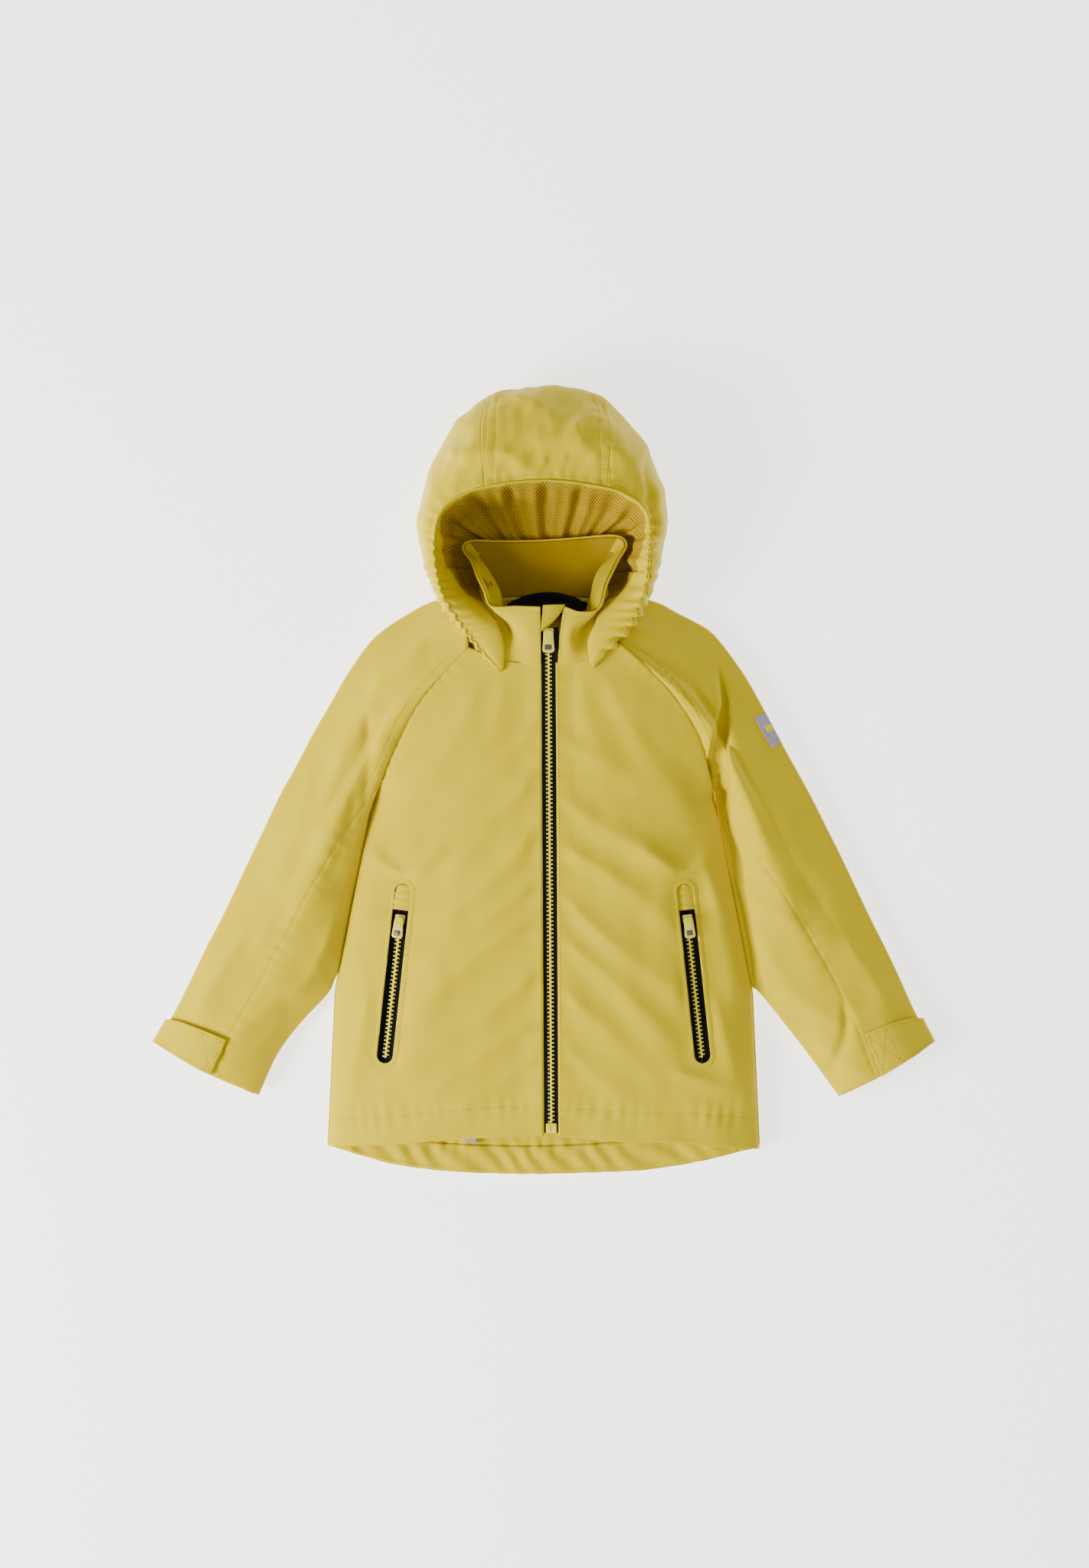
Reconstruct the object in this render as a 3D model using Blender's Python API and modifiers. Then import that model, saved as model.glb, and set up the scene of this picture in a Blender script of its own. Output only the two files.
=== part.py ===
"""Child's hooded rain jacket, lying flat on its back.

Metres, +Z up out of the chest, +Y from the hem to the hood, +X towards the wearer's left.
The origin is on the floor under the middle of the jacket.
"""
import math

import bmesh
import bpy
from mathutils import Matrix, Vector

# ---------------------------------------------------------------- driving dimensions
GAP = 0.0006            # clearance between pieces that are sewn edge to edge
CLOTH = 0.0016          # shell fabric with its lining

HEM_Y = -0.333          # side seam at the hem
HEM_DIP = 0.012         # the front hem rises this much towards the zip
TAIL_DROP = 0.0282      # the back hem hangs lower than the side seam
ARMPIT_Y = -0.012
NECK_FRONT_Y = 0.111
NECK_BACK_Y = 0.168
HEM_HALF = 0.197
WAIST_HALF = 0.191
WAIST_Y = -0.190
ARMPIT_HALF = 0.157
HEM_HEIGHT = 0.040      # top of the zip line over the floor, at the hem
NECK_HEIGHT = 0.056     # the same at the neck
EDGE_HEIGHT = 0.014     # side fold over the floor
SIDE_ROUND = 0.014      # how far the side fold curls in under the body

ZIP_BOTTOM_Y = -0.318
ZIP_TOP_Y = 0.142
ZIP_BOTTOM_X = 0.0070
ZIP_TOP_X = 0.0042
TAPE_WIDTH = 0.0092     # one half of the tape
TAPE_THICK = 0.0008
TOOTH_REACH = 0.0028
TOOTH_HEIGHT = 0.0022
BOX_LENGTH = 0.009
SLIDER_LENGTH = 0.011
SLIDER_WIDTH = 0.0098
SLIDER_HEIGHT = 0.0052
PULLER_LENGTH = 0.020
PULLER_WIDTH = 0.0108
PULLER_THICK = 0.0018

POCKET_LENGTH = 0.165
POCKET_SLOT = 0.0150
POCKET_TOP_Y = -0.091
POCKET_X = 0.1280       # pocket top from the middle
POCKET_SLANT = 6.2      # degrees, out towards the hem
POCKET_DEPTH = 0.085    # how far the bag reaches towards the zip
GARAGE_LENGTH = 0.024

SHOULDER_X = 0.158      # shoulder pivot
SHOULDER_Y = 0.037
SHOULDER_R = 0.075      # round end of the shoulder, about the pivot
END_OUTER = math.radians(-18)   # where the round end meets the outer fold
END_INNER = math.radians(-72)   # where it meets the side of the body
SHOULDER_SLOPE = 0.593
SHOULDER_BEND_Y = 0.118
SHOULDER_CURL = 13.0
NECK_SIDE_X = 0.067
NECK_SIDE_Y = 0.125
SLEEVE_ANGLE = 27.2     # degrees between the sleeve and the body
SLEEVE_LENGTH = 0.336   # from the pivot to the cuff
SLEEVE_OUTER = 0.0515   # from the sleeve's line to its outer fold
SLEEVE_INNER = 0.0550   # from the line to the inner fold, at the cuff
SLEEVE_FLARE = 0.084    # how fast the inner fold widens up the arm
SLEEVE_CLEAR = 0.0030   # between the sleeve and the body's side
SLEEVE_HEIGHT = 0.042
CUFF_HEIGHT = 0.030

TAB_ROOT = 0.008        # sewn end, from the sleeve's line towards the body
TAB_WIDTH = 0.036
TAB_THICK = 0.0020
TAB_WRAP = 0.25         # share of the sleeve's height that the tab wraps down
PATCH_THICK = 0.0008

LIFT_Y = 0.146          # line about which the collar and hood lift
LIFT_Z = 0.058
COLLAR_HALF = 0.072
COLLAR_HEIGHT = 0.053   # at the back
COLLAR_CLOTH = 0.0020
FACING_WIDTH = 0.010


# ---------------------------------------------------------------- scene and helpers
for old in list(bpy.data.objects):
    bpy.data.objects.remove(old, do_unlink=True)

parts = bpy.data.collections.new("foul_weather_jacket")
cutters = bpy.data.collections.new("cutters")
bpy.context.scene.collection.children.link(parts)
bpy.context.scene.collection.children.link(cutters)


def material(name, colour, roughness, metallic=0.0):
    mat = bpy.data.materials.new(name)
    mat.use_nodes = True
    shader = mat.node_tree.nodes["Principled BSDF"]
    shader.inputs["Base Color"].default_value = (*colour, 1.0)
    shader.inputs["Roughness"].default_value = roughness
    shader.inputs["Metallic"].default_value = metallic
    return mat


SHELL = material("coated_yellow_fabric", (0.66, 0.52, 0.08), 0.55)
LINING = material("yellow_lining", (0.45, 0.30, 0.03), 0.80)
MESH = material("net_lining", (0.50, 0.33, 0.03), 0.85)
TAPE = material("black_zip_tape", (0.012, 0.012, 0.012), 0.80)
TEETH = material("moulded_yellow_teeth", (0.75, 0.65, 0.05), 0.35)
ENAMEL = material("painted_yellow_metal", (0.75, 0.58, 0.05), 0.30, 0.3)
REFLECT = material("grey_reflective", (0.34, 0.30, 0.33), 0.45)
DARK = material("black_facing", (0.02, 0.02, 0.02), 0.85)
ELASTIC = material("elastic_binding", (0.62, 0.48, 0.06), 0.75)


def new_object(name, mesh, mat, collection=parts):
    mesh.materials.append(mat)
    obj = bpy.data.objects.new(name, mesh)
    collection.objects.link(obj)
    return obj


def grid_mesh(name, rows, outward, wrap=False, inset=0.0):
    """Open surface through rows of points, facing outward, moved in by an inset."""
    mesh = bpy.data.meshes.new(name)
    bm = bmesh.new()
    verts = [[bm.verts.new(p) for p in row] for row in rows]
    count = len(rows[0])
    last = count if wrap else count - 1
    for i in range(len(rows) - 1):
        for j in range(last):
            k = (j + 1) % count
            bm.faces.new((verts[i][j], verts[i][k], verts[i + 1][k], verts[i + 1][j]))
    bm.normal_update()
    lean = sum(f.normal.dot(outward(f.calc_center_median())) * f.calc_area() for f in bm.faces)
    if lean < 0:
        bmesh.ops.reverse_faces(bm, faces=bm.faces)
    bm.normal_update()
    for vert, normal in [(v, v.normal.copy()) for v in bm.verts]:
        vert.co -= normal * inset
    bm.to_mesh(mesh)
    bm.free()
    return mesh


def sheet(name, rows, thickness, mat, outward, wrap=False, inset=0.0):
    """Cloth of a given thickness, laid under the surface through rows."""
    obj = new_object(name, grid_mesh(name, rows, outward, wrap, inset), mat)
    solid = obj.modifiers.new("thickness", "SOLIDIFY")
    solid.thickness = thickness
    solid.offset = -1.0
    solid.use_even_offset = False
    for poly in obj.data.polygons:
        poly.use_smooth = True
    return obj


def up(_point):
    return Vector((0, 0, 1))


def down(_point):
    return Vector((0, 0, -1))


def box(name, size, centre, mat, frame, collection=parts, bevel=0.0):
    """Box of a given size, centred in a frame's own axes."""
    mesh = bpy.data.meshes.new(name)
    bm = bmesh.new()
    bmesh.ops.create_cube(bm, size=1.0)
    bmesh.ops.scale(bm, vec=size, verts=bm.verts)
    bmesh.ops.translate(bm, vec=centre, verts=bm.verts)
    bm.to_mesh(mesh)
    bm.free()
    obj = new_object(name, mesh, mat, collection)
    obj.matrix_world = frame
    if bevel:
        edge = obj.modifiers.new("edges", "BEVEL")
        edge.width = bevel
        edge.segments = 2
    return obj


def outline_solid(name, points, thickness, mat, frame, collection=parts, holes=()):
    """Flat outline as a filled curve, extruded to a thickness and made a closed mesh."""
    curve = bpy.data.curves.new(name, "CURVE")
    curve.dimensions = "2D"
    curve.fill_mode = "BOTH"
    curve.extrude = thickness / 2
    for ring in (points, *holes):
        spline = curve.splines.new("POLY")
        spline.points.add(len(ring) - 1)
        for point, place in zip(spline.points, ring):
            point.co = (place[0], place[1], 0, 1)
        spline.use_cyclic_u = True
    flat = bpy.data.objects.new(name + "_outline", curve)
    bpy.context.scene.collection.objects.link(flat)
    bpy.context.view_layer.update()
    mesh = bpy.data.meshes.new_from_object(flat.evaluated_get(bpy.context.evaluated_depsgraph_get()))
    bpy.data.objects.remove(flat, do_unlink=True)
    bm = bmesh.new()
    bm.from_mesh(mesh)
    bmesh.ops.remove_doubles(bm, verts=bm.verts, dist=1e-6)
    bmesh.ops.recalc_face_normals(bm, faces=bm.faces)
    bm.to_mesh(mesh)
    bm.free()
    obj = new_object(name, mesh, mat, collection)
    obj.matrix_world = frame
    return obj


def stadium(length, width, steps=8):
    """Outline of a slot with round ends, along Y, centred on the origin."""
    radius = width / 2
    reach = length / 2 - radius
    ring = []
    for end in (1, -1):
        for i in range(steps + 1):
            turn = math.pi * i / steps
            ring.append((end * radius * math.cos(turn), end * (reach + radius * math.sin(turn))))
    return ring


def smooth_path(points, count):
    """Catmull-Rom curve through points, read at count even parameter steps."""
    pts = [Vector(p) for p in points]
    pts = [2 * pts[0] - pts[1]] + pts + [2 * pts[-1] - pts[-2]]
    spans = len(pts) - 3
    out = []
    for i in range(count):
        t = i / (count - 1) * spans
        k = min(int(t), spans - 1)
        t -= k
        a, b, c, d = pts[k:k + 4]
        out.append(0.5 * (2 * b + (c - a) * t + (2 * a - 5 * b + 4 * c - d) * t * t
                          + (3 * b - a - 3 * c + d) * t ** 3))
    return out


def mirrored(point, side):
    return Vector((point[0] * side, point[1], point[2]))


# ---------------------------------------------------------------- shape of the body
def blend(a, b, t):
    return a + (b - a) * t


def zip_height(y):
    t = (y - HEM_Y) / (NECK_FRONT_Y - HEM_Y)
    return blend(HEM_HEIGHT, NECK_HEIGHT, t)


def zip_x(y):
    t = (y - ZIP_BOTTOM_Y) / (ZIP_TOP_Y - ZIP_BOTTOM_Y)
    return blend(ZIP_BOTTOM_X, ZIP_TOP_X, t)


def half_width(y):
    """Side fold of the body, from the hem to the armpit."""
    if y > WAIST_Y:
        t = max((ARMPIT_Y - y) / (ARMPIT_Y - WAIST_Y), 0.0)
        return blend(ARMPIT_HALF, WAIST_HALF, t)
    return blend(WAIST_HALF, HEM_HALF, (WAIST_Y - y) / (WAIST_Y - HEM_Y))


def raglan_x(y):
    """Raglan seam, from the armpit up to the neck."""
    t = min(max((y - ARMPIT_Y) / (NECK_SIDE_Y - ARMPIT_Y), 0.0), 1.0)
    return blend(ARMPIT_HALF, NECK_SIDE_X, t ** 1.35)


def round_end(turn, radius=SHOULDER_R):
    """Point of the shoulder's round end, by its angle about the pivot."""
    return SHOULDER_X + radius * math.cos(turn), SHOULDER_Y + radius * math.sin(turn)


def shoulder_edge(y):
    """Outer fold of the shoulder, above the round end."""
    x, foot = round_end(END_OUTER)
    return x - SHOULDER_SLOPE * (y - foot) - SHOULDER_CURL * max(y - SHOULDER_BEND_Y, 0.0) ** 2


def top_z(x, y, width):
    """Height of the front layer over the floor."""
    t = min(abs(x) / width, 1.0)
    return EDGE_HEIGHT + (zip_height(y) - EDGE_HEIGHT) * (1 - t ** 2.6) ** 0.62


def chest_width(y):
    """Width over which the front falls from the zip to the side."""
    if y <= ARMPIT_Y:
        return half_width(y)
    t = (y - ARMPIT_Y) / (NECK_FRONT_Y - ARMPIT_Y)
    return ARMPIT_HALF + 0.045 * t


def zip_frame(y):
    """Frame on the zip line: X across, Y up the zip, Z out of the chest."""
    low = Vector((zip_x(ZIP_BOTTOM_Y), ZIP_BOTTOM_Y, zip_height(ZIP_BOTTOM_Y)))
    high = Vector((zip_x(ZIP_TOP_Y), ZIP_TOP_Y, zip_height(ZIP_TOP_Y)))
    along = (high - low).normalized()
    across = along.cross(Vector((0, 0, 1))).normalized()
    out = across.cross(along)
    place = low + (high - low) * (y - ZIP_BOTTOM_Y) / (ZIP_TOP_Y - ZIP_BOTTOM_Y)
    frame = Matrix((across, along, out)).transposed().to_4x4()
    frame.translation = place
    return frame


def pocket_frame(side, along):
    """Frame on a pocket's zip line, a distance down from its top end."""
    slant = math.radians(POCKET_SLANT)
    places = []
    for reach in (0.0, POCKET_LENGTH):
        x = POCKET_X + reach * math.sin(slant)
        y = POCKET_TOP_Y - reach * math.cos(slant)
        places.append(Vector((side * x, y, top_z(x, y, half_width(y)))))
    top, bottom = places
    direction = (top - bottom).normalized()
    mid_x = abs((top.x + bottom.x) / 2)
    mid_y = (top.y + bottom.y) / 2
    step = 0.004
    fall = (top_z(mid_x + step, mid_y, half_width(mid_y)) - top_z(mid_x - step, mid_y, half_width(mid_y))) / (2 * step)
    across = Vector((1, 0, side * fall))
    across = (across - direction * across.dot(direction)).normalized()
    out = across.cross(direction)
    frame = Matrix((across, direction, out)).transposed().to_4x4()
    frame.translation = top - direction * along
    return frame


# ---------------------------------------------------------------- body panels
def back_side(y):
    """Half width of the back layer, shoulders included."""
    foot = round_end(END_INNER)[1]
    if y < foot:
        return half_width(y)
    if y < round_end(END_OUTER)[1]:
        return SHOULDER_X + math.sqrt(SHOULDER_R ** 2 - (y - SHOULDER_Y) ** 2)
    return shoulder_edge(y)


def back_curl(y):
    """Share of the side fold that curls up; none where the arm passes."""
    foot = round_end(END_INNER)[1]
    head = round_end(END_OUTER)[1]
    if y < foot - GAP:
        return 1.0
    return min(max((y - head) / 0.02, 0.0), 1.0)


def tail_y(y, x):
    """Rows near the hem drop towards the tail."""
    t = min(max((y - HEM_Y) / 0.09, 0.0), 1.0)
    across = max(1 - (x / HEM_HALF) ** 2, 0.0)
    return y - TAIL_DROP * across ** 0.8 * (1 - t) ** 1.5


def back_panel():
    foot = round_end(END_INNER)[1]
    head = round_end(END_OUTER)[1]
    levels = [blend(HEM_Y, foot - GAP, i / 8) for i in range(9)]
    levels += [blend(foot, head, i / 5) for i in range(6)]
    levels += [blend(head, NECK_BACK_Y, i / 7) for i in range(1, 8)]
    rows = []
    for y in levels:
        side = back_side(y)
        curl = back_curl(y) * (EDGE_HEIGHT - CLOTH - 2 * GAP)
        row = []
        flat = [i / 5 * (side - SIDE_ROUND) for i in range(6)]
        half = [(x, 0.0) for x in flat]
        for i in range(1, 5):
            turn = math.pi / 2 * i / 4
            rise = curl * (1 - math.cos(turn))
            half.append((side - SIDE_ROUND * (1 - math.sin(turn)), rise))
        for x, z in reversed(half[1:]):
            row.append(Vector((-x, tail_y(y, x), z)))
        for x, z in half:
            row.append(Vector((x, tail_y(y, x), z)))
        rows.append(row)
    return sheet("back_panel", rows, CLOTH, SHELL, down)


def front_hem_y(y, x):
    t = min(max((y - HEM_Y) / 0.09, 0.0), 1.0)
    across = max(1 - (x / HEM_HALF) ** 2, 0.0)
    return y + HEM_DIP * across * (1 - t)


def front_panel(name, side):
    levels = [blend(HEM_Y, ARMPIT_Y, i / 9) for i in range(10)]
    levels += [blend(ARMPIT_Y, NECK_SIDE_Y, i / 5) for i in range(1, 6)]
    rows = []
    for y in levels:
        inner = side * zip_x(y) + TAPE_WIDTH + GAP
        outer = (half_width(y) if y <= ARMPIT_Y else raglan_x(y)) - GAP / 2
        row = []
        for i in range(10):
            x = blend(inner, outer, math.sin(math.pi / 2 * i / 9) ** 0.9)
            z = top_z(x, y, chest_width(y))
            row.append(Vector((side * x, front_hem_y(y, x), z)))
        rows.append(row)
    panel = sheet(name, rows, CLOTH, SHELL, up)
    cutter = outline_solid(name + "_slot", [(x, y - POCKET_LENGTH / 2) for x, y in
                                            stadium(POCKET_LENGTH, POCKET_SLOT)],
                           0.04, SHELL, pocket_frame(side, 0.0), cutters)
    cutter.hide_render = True
    cutter.display_type = "WIRE"
    cut = panel.modifiers.new("pocket_slot", "BOOLEAN")
    cut.operation = "DIFFERENCE"
    cut.object = cutter
    return panel


def sleeve_top(lateral, height):
    """Height of the sleeve's upper layer at a distance from its line."""
    reach = SLEEVE_OUTER if lateral < 0 else SLEEVE_INNER
    t = min(abs(lateral) / reach, 1.0)
    return EDGE_HEIGHT + (height - EDGE_HEIGHT) * (1 - t ** 2.4) ** 0.6


def shoulder_point(q, s):
    """Upper layer of a shoulder: q runs from neck to armpit, s from seam to outer fold."""
    y = blend(NECK_SIDE_Y, ARMPIT_Y, q)
    seam = Vector((raglan_x(y) + GAP, y, top_z(raglan_x(y), y, chest_width(y))))
    turn_at = 0.55
    if q < turn_at:
        edge_y = blend(NECK_BACK_Y - 0.006, round_end(END_OUTER)[1], q / turn_at)
        edge = Vector((shoulder_edge(edge_y), edge_y, EDGE_HEIGHT))
    else:
        turn = blend(END_OUTER, END_INNER, (q - turn_at) / (1 - turn_at))
        x, edge_y = round_end(turn)
        swing = math.radians(SLEEVE_ANGLE)
        lateral = -(x - SHOULDER_X) * math.cos(swing) - (edge_y - SHOULDER_Y) * math.sin(swing)
        edge = Vector((x, edge_y, sleeve_top(lateral, SLEEVE_HEIGHT)))
    place = seam.lerp(edge, s)
    fall = s ** 2.2 if edge.z < seam.z else s
    place.z = blend(seam.z, edge.z, fall)
    return place


def shoulder(name, side):
    rows = []
    for i in range(13):
        rows.append([mirrored(shoulder_point(i / 12, j / 7), side) for j in range(8)])
    return sheet(name, rows, CLOTH, SHELL, up)


def collar_front(name, side):
    """Lower front of the stand collar, beside the top of the zip."""
    rows = []
    for i in range(4):
        row = []
        for j in range(5):
            y = blend(NECK_SIDE_Y + 2 * GAP, LIFT_Y - 2 * GAP, i / 3)
            x = blend(side * zip_x(y) + TAPE_WIDTH + GAP, 0.050, j / 4)
            row.append(Vector((side * x, y, top_z(x, y, chest_width(y)))))
        rows.append(row)
    return sheet(name, rows, COLLAR_CLOTH, SHELL, up)


def hem_facing():
    rows = []
    for i in range(4):
        y = blend(HEM_Y + 0.002, HEM_Y + 0.028, i / 3)
        reach = HEM_HALF - SIDE_ROUND - 0.008
        rows.append([Vector((x, tail_y(y, x), CLOTH + GAP + PATCH_THICK))
                     for x in (blend(-reach, reach, j / 12) for j in range(13))])
    return sheet("back_hem_facing", rows, PATCH_THICK, SHELL, up)


def hem_tag():
    frame = Matrix.Translation((-0.071, tail_y(HEM_Y + 0.014, 0.071) + 0.003, CLOTH + 2 * GAP + 1.5 * PATCH_THICK))
    corners = [(-0.0100, 0.004), (0.0095, 0.006), (0.0095, -0.003)]
    return outline_solid("hem_tag", corners, PATCH_THICK, REFLECT, frame)


back_panel()
front_panel("front_panel_right", -1)
front_panel("front_panel_left", 1)
shoulder("shoulder_right", -1)
shoulder("shoulder_left", 1)
collar_front("collar_front_right", -1)
collar_front("collar_front_left", 1)
hem_facing()
hem_tag()


def reflective_patch():
    """Plain bar stuck over the outer fold of the left shoulder."""
    rows = []
    for i in range(6):
        q = blend(0.340, 0.455, i / 5)
        row = []
        for j in range(5):
            place = shoulder_point(q, blend(0.78, 0.97, j / 4))
            row.append(place + Vector((0.3, 0, 0.95)) * (PATCH_THICK + 2 * GAP))
        rows.append(row)
    return sheet("reflective_patch", rows, PATCH_THICK, REFLECT, up)


reflective_patch()


# ---------------------------------------------------------------- sleeves
def sleeve_frame(side):
    """Frame at the shoulder pivot: X towards the body, Y from the cuff to the pivot."""
    swing = math.radians(SLEEVE_ANGLE)
    inward = Vector((-math.cos(swing), -math.sin(swing), 0))
    down_arm = Vector((math.sin(swing), -math.cos(swing), 0))
    return inward, down_arm, Vector((SHOULDER_X, SHOULDER_Y, 0)), side


def arm_point(side, lateral, along, z):
    inward, down_arm, pivot, _side = sleeve_frame(side)
    place = pivot + inward * lateral + down_arm * along
    return Vector((side * place.x, place.y, z))


def sleeve_inner(along):
    """Inner fold: clear of the body's side, then narrowing to the cuff."""
    swing = math.radians(SLEEVE_ANGLE)
    lateral = SLEEVE_INNER
    for _step in range(8):
        y = SHOULDER_Y - along * math.cos(swing) - lateral * math.sin(swing)
        lateral = (SHOULDER_X + along * math.sin(swing) - half_width(y) - SLEEVE_CLEAR) / math.cos(swing)
    return min(lateral, SLEEVE_INNER + (SLEEVE_LENGTH - along) * SLEEVE_FLARE)


def sleeve_height(along):
    return blend(SLEEVE_HEIGHT, CUFF_HEIGHT, (along - SHOULDER_R) / (SLEEVE_LENGTH - SHOULDER_R))


def sleeve_section(along, turn):
    """Lateral place and height on the flattened tube, by the angle round it."""
    inner = sleeve_inner(along)
    middle = (inner - SLEEVE_OUTER) / 2
    half = (inner + SLEEVE_OUTER) / 2
    c = math.cos(turn)
    s = math.sin(turn)
    lateral = middle + half * math.copysign(abs(c) ** 0.75, c)
    height = sleeve_height(along)
    if s >= 0:
        z = EDGE_HEIGHT + (height - EDGE_HEIGHT) * s ** 0.9
    else:
        z = EDGE_HEIGHT * (1 - abs(s) ** 0.45)
    return lateral, z


def sleeve_start(lateral):
    reach = SHOULDER_R + 3 * GAP
    return math.sqrt(max(reach ** 2 - lateral ** 2, 0.0))


def sleeve(name, side):
    rows = []
    around = 20
    for i in range(9):
        row = []
        for j in range(around):
            turn = 2 * math.pi * j / around
            along = SHOULDER_R
            for _step in range(4):
                lateral, z = sleeve_section(along, turn)
                along = blend(sleeve_start(lateral), SLEEVE_LENGTH, i / 8)
            row.append(arm_point(side, lateral, along, z))
        rows.append(row)

    def outward(place):
        return Vector((0, 0, place.z - EDGE_HEIGHT)).normalized() * abs(place.z - EDGE_HEIGHT)

    return sheet(name, rows, CLOTH, SHELL, outward, wrap=True)


def tab_profile(along, lift):
    """Line over the sleeve from the tab's sewn end round the outer fold."""
    turns = [math.radians(a) for a in range(0, 181)]
    path = []
    for turn in turns:
        lateral, z = sleeve_section(along, turn)
        if lateral <= TAB_ROOT:
            path.append((lateral, z))
    wrap_z = EDGE_HEIGHT * (1 - TAB_WRAP)
    lateral, z = path[-1]
    path.append((lateral, wrap_z))
    raised = []
    for k, (l, z) in enumerate(path):
        before = path[max(k - 1, 0)]
        after = path[min(k + 1, len(path) - 1)]
        run = Vector((after[0] - before[0], after[1] - before[1])).normalized()
        raised.append((l - lift * abs(run.y), z + lift * abs(run.x)))
    return raised


def tab_sheet(name, side, lift, thickness, mat, first, last, margin):
    """Strap of cloth over the cuff, between two shares of the tab's length."""
    rows = []
    steps = 3
    for i in range(steps + 1):
        along = blend(SLEEVE_LENGTH - TAB_WIDTH + margin, SLEEVE_LENGTH - margin, i / steps)
        path = tab_profile(along, lift)
        row = []
        for j in range(10):
            reach = blend(first, last, j / 9) * (len(path) - 1)
            k = min(int(reach), len(path) - 2)
            t = reach - k
            lateral = blend(path[k][0], path[k + 1][0], t)
            z = blend(path[k][1], path[k + 1][1], t)
            row.append(arm_point(side, lateral, along, z))
        rows.append(row)
    return sheet(name, rows, thickness, mat, up)


for side, hand in ((-1, "right"), (1, "left")):
    sleeve("sleeve_" + hand, side)
    loop_top = PATCH_THICK + GAP
    hook_top = loop_top + PATCH_THICK + GAP
    tab_top = hook_top + TAB_THICK + GAP
    tab_sheet("tab_loop_patch_" + hand, side, loop_top, PATCH_THICK, DARK, 0.45, 0.80, 0.006)
    tab_sheet("tab_hook_patch_" + hand, side, hook_top, PATCH_THICK, DARK, 0.50, 0.80, 0.008)
    tab_sheet("cuff_tab_" + hand, side, tab_top, TAB_THICK, SHELL, 0.0, 1.0, 0.0)


# ---------------------------------------------------------------- front zip
def zip_piece(name, size, centre, mat, y=None, bevel=0.0):
    return box(name, size, centre, mat, zip_frame(ZIP_BOTTOM_Y if y is None else y), bevel=bevel)


ZIP_LENGTH = (zip_frame(ZIP_TOP_Y).translation - zip_frame(ZIP_BOTTOM_Y).translation).length
SLIDER_Y = ZIP_TOP_Y - 0.006

for side, hand in ((-1, "right"), (1, "left")):
    zip_piece("zip_tape_" + hand, (TAPE_WIDTH - GAP / 2, ZIP_LENGTH, TAPE_THICK),
              (side * (TAPE_WIDTH + GAP / 2) / 2, ZIP_LENGTH / 2, -TAPE_THICK / 2), TAPE)
    row_length = ZIP_LENGTH - BOX_LENGTH - GAP
    zip_piece("tooth_row_" + hand, (TOOTH_REACH, row_length, TOOTH_HEIGHT),
              (side * (GAP / 2 + TOOTH_REACH / 2), BOX_LENGTH + GAP + row_length / 2,
               GAP / 2 + TOOTH_HEIGHT / 2), TEETH)

zip_piece("retaining_box", (SLIDER_WIDTH, BOX_LENGTH, TOOTH_HEIGHT + 0.001),
          (0, BOX_LENGTH / 2, GAP / 2 + TOOTH_HEIGHT / 2 + 0.0005), TEETH, bevel=0.0006)


def slider_outline():
    """Section of a slider: a plate over the teeth with a flange down each side."""
    wide = SLIDER_WIDTH / 2
    inner = TOOTH_REACH + GAP / 2 + GAP
    low = GAP
    under = GAP / 2 + TOOTH_HEIGHT + GAP
    return [(-wide, low), (-inner, low), (-inner, under), (inner, under), (inner, low), (wide, low),
            (wide, SLIDER_HEIGHT - 0.001), (wide - 0.001, SLIDER_HEIGHT),
            (-wide + 0.001, SLIDER_HEIGHT), (-wide, SLIDER_HEIGHT - 0.001)]


STAND = Matrix.Rotation(math.radians(90), 4, "X")


def slider(name, frame):
    return outline_solid(name, slider_outline(), SLIDER_LENGTH, ENAMEL, frame @ STAND)


def puller(name, frame):
    """Pull tab lying down the zip: a plate with a window, its origin on its pin."""
    half = PULLER_WIDTH / 2
    end = -PULLER_LENGTH
    outline = [(half * 0.62, 0.001), (half * 0.70, -0.004), (half, end + 0.006), (half, end + 0.0015),
               (half - 0.0015, end), (-half + 0.0015, end), (-half, end + 0.0015),
               (-half, end + 0.006), (-half * 0.70, -0.004), (-half * 0.62, 0.001)]
    window = [(-half * 0.62, end + 0.0018), (half * 0.62, end + 0.0018),
              (half * 0.62, end + 0.0068), (-half * 0.62, end + 0.0068)]
    return outline_solid(name, outline, PULLER_THICK, ENAMEL, frame, holes=(window,))


def puller_frame(frame):
    """Pin of the puller, above the slider."""
    return frame @ Matrix.Translation((0, 0.002, SLIDER_HEIGHT + GAP + PULLER_THICK / 2))


slider("slider", zip_frame(SLIDER_Y))
puller("puller", puller_frame(zip_frame(SLIDER_Y)))

# ---------------------------------------------------------------- pockets
TAPE_SINK = CLOTH + 0.0030      # tape face under the panel's outer face
POCKET_SLIDER_AT = GARAGE_LENGTH + 0.004


def pocket_bag(name, side):
    """Folded cloth hanging from the pocket tape towards the zip."""
    rows = []
    length = POCKET_LENGTH - 0.020
    inward = -side
    for i in range(9):
        y = -0.010 - length * i / 8
        row = []
        for x, z in ((-0.010, -0.0012), (-0.012, -0.0060), (-0.008, -0.0095), (0.010, -0.0110),
                     (POCKET_DEPTH * 0.6, -0.0120), (POCKET_DEPTH, -0.0110),
                     (POCKET_DEPTH + 0.002, -0.0085), (POCKET_DEPTH, -0.0060),
                     (POCKET_DEPTH * 0.6, -0.0058), (0.016, -0.0050), (0.011, -0.0012)):
            row.append(pocket_frame(side, 0.0) @ Vector((inward * x, y, z - TAPE_SINK - TAPE_THICK)))
        rows.append(row)
    middle = pocket_frame(side, length / 2) @ Vector((inward * POCKET_DEPTH / 2, 0, -TAPE_SINK - 0.009))

    def outward(place):
        return Vector((0, 0, place.z - middle.z))

    return sheet(name, rows, PATCH_THICK, LINING, outward)


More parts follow.
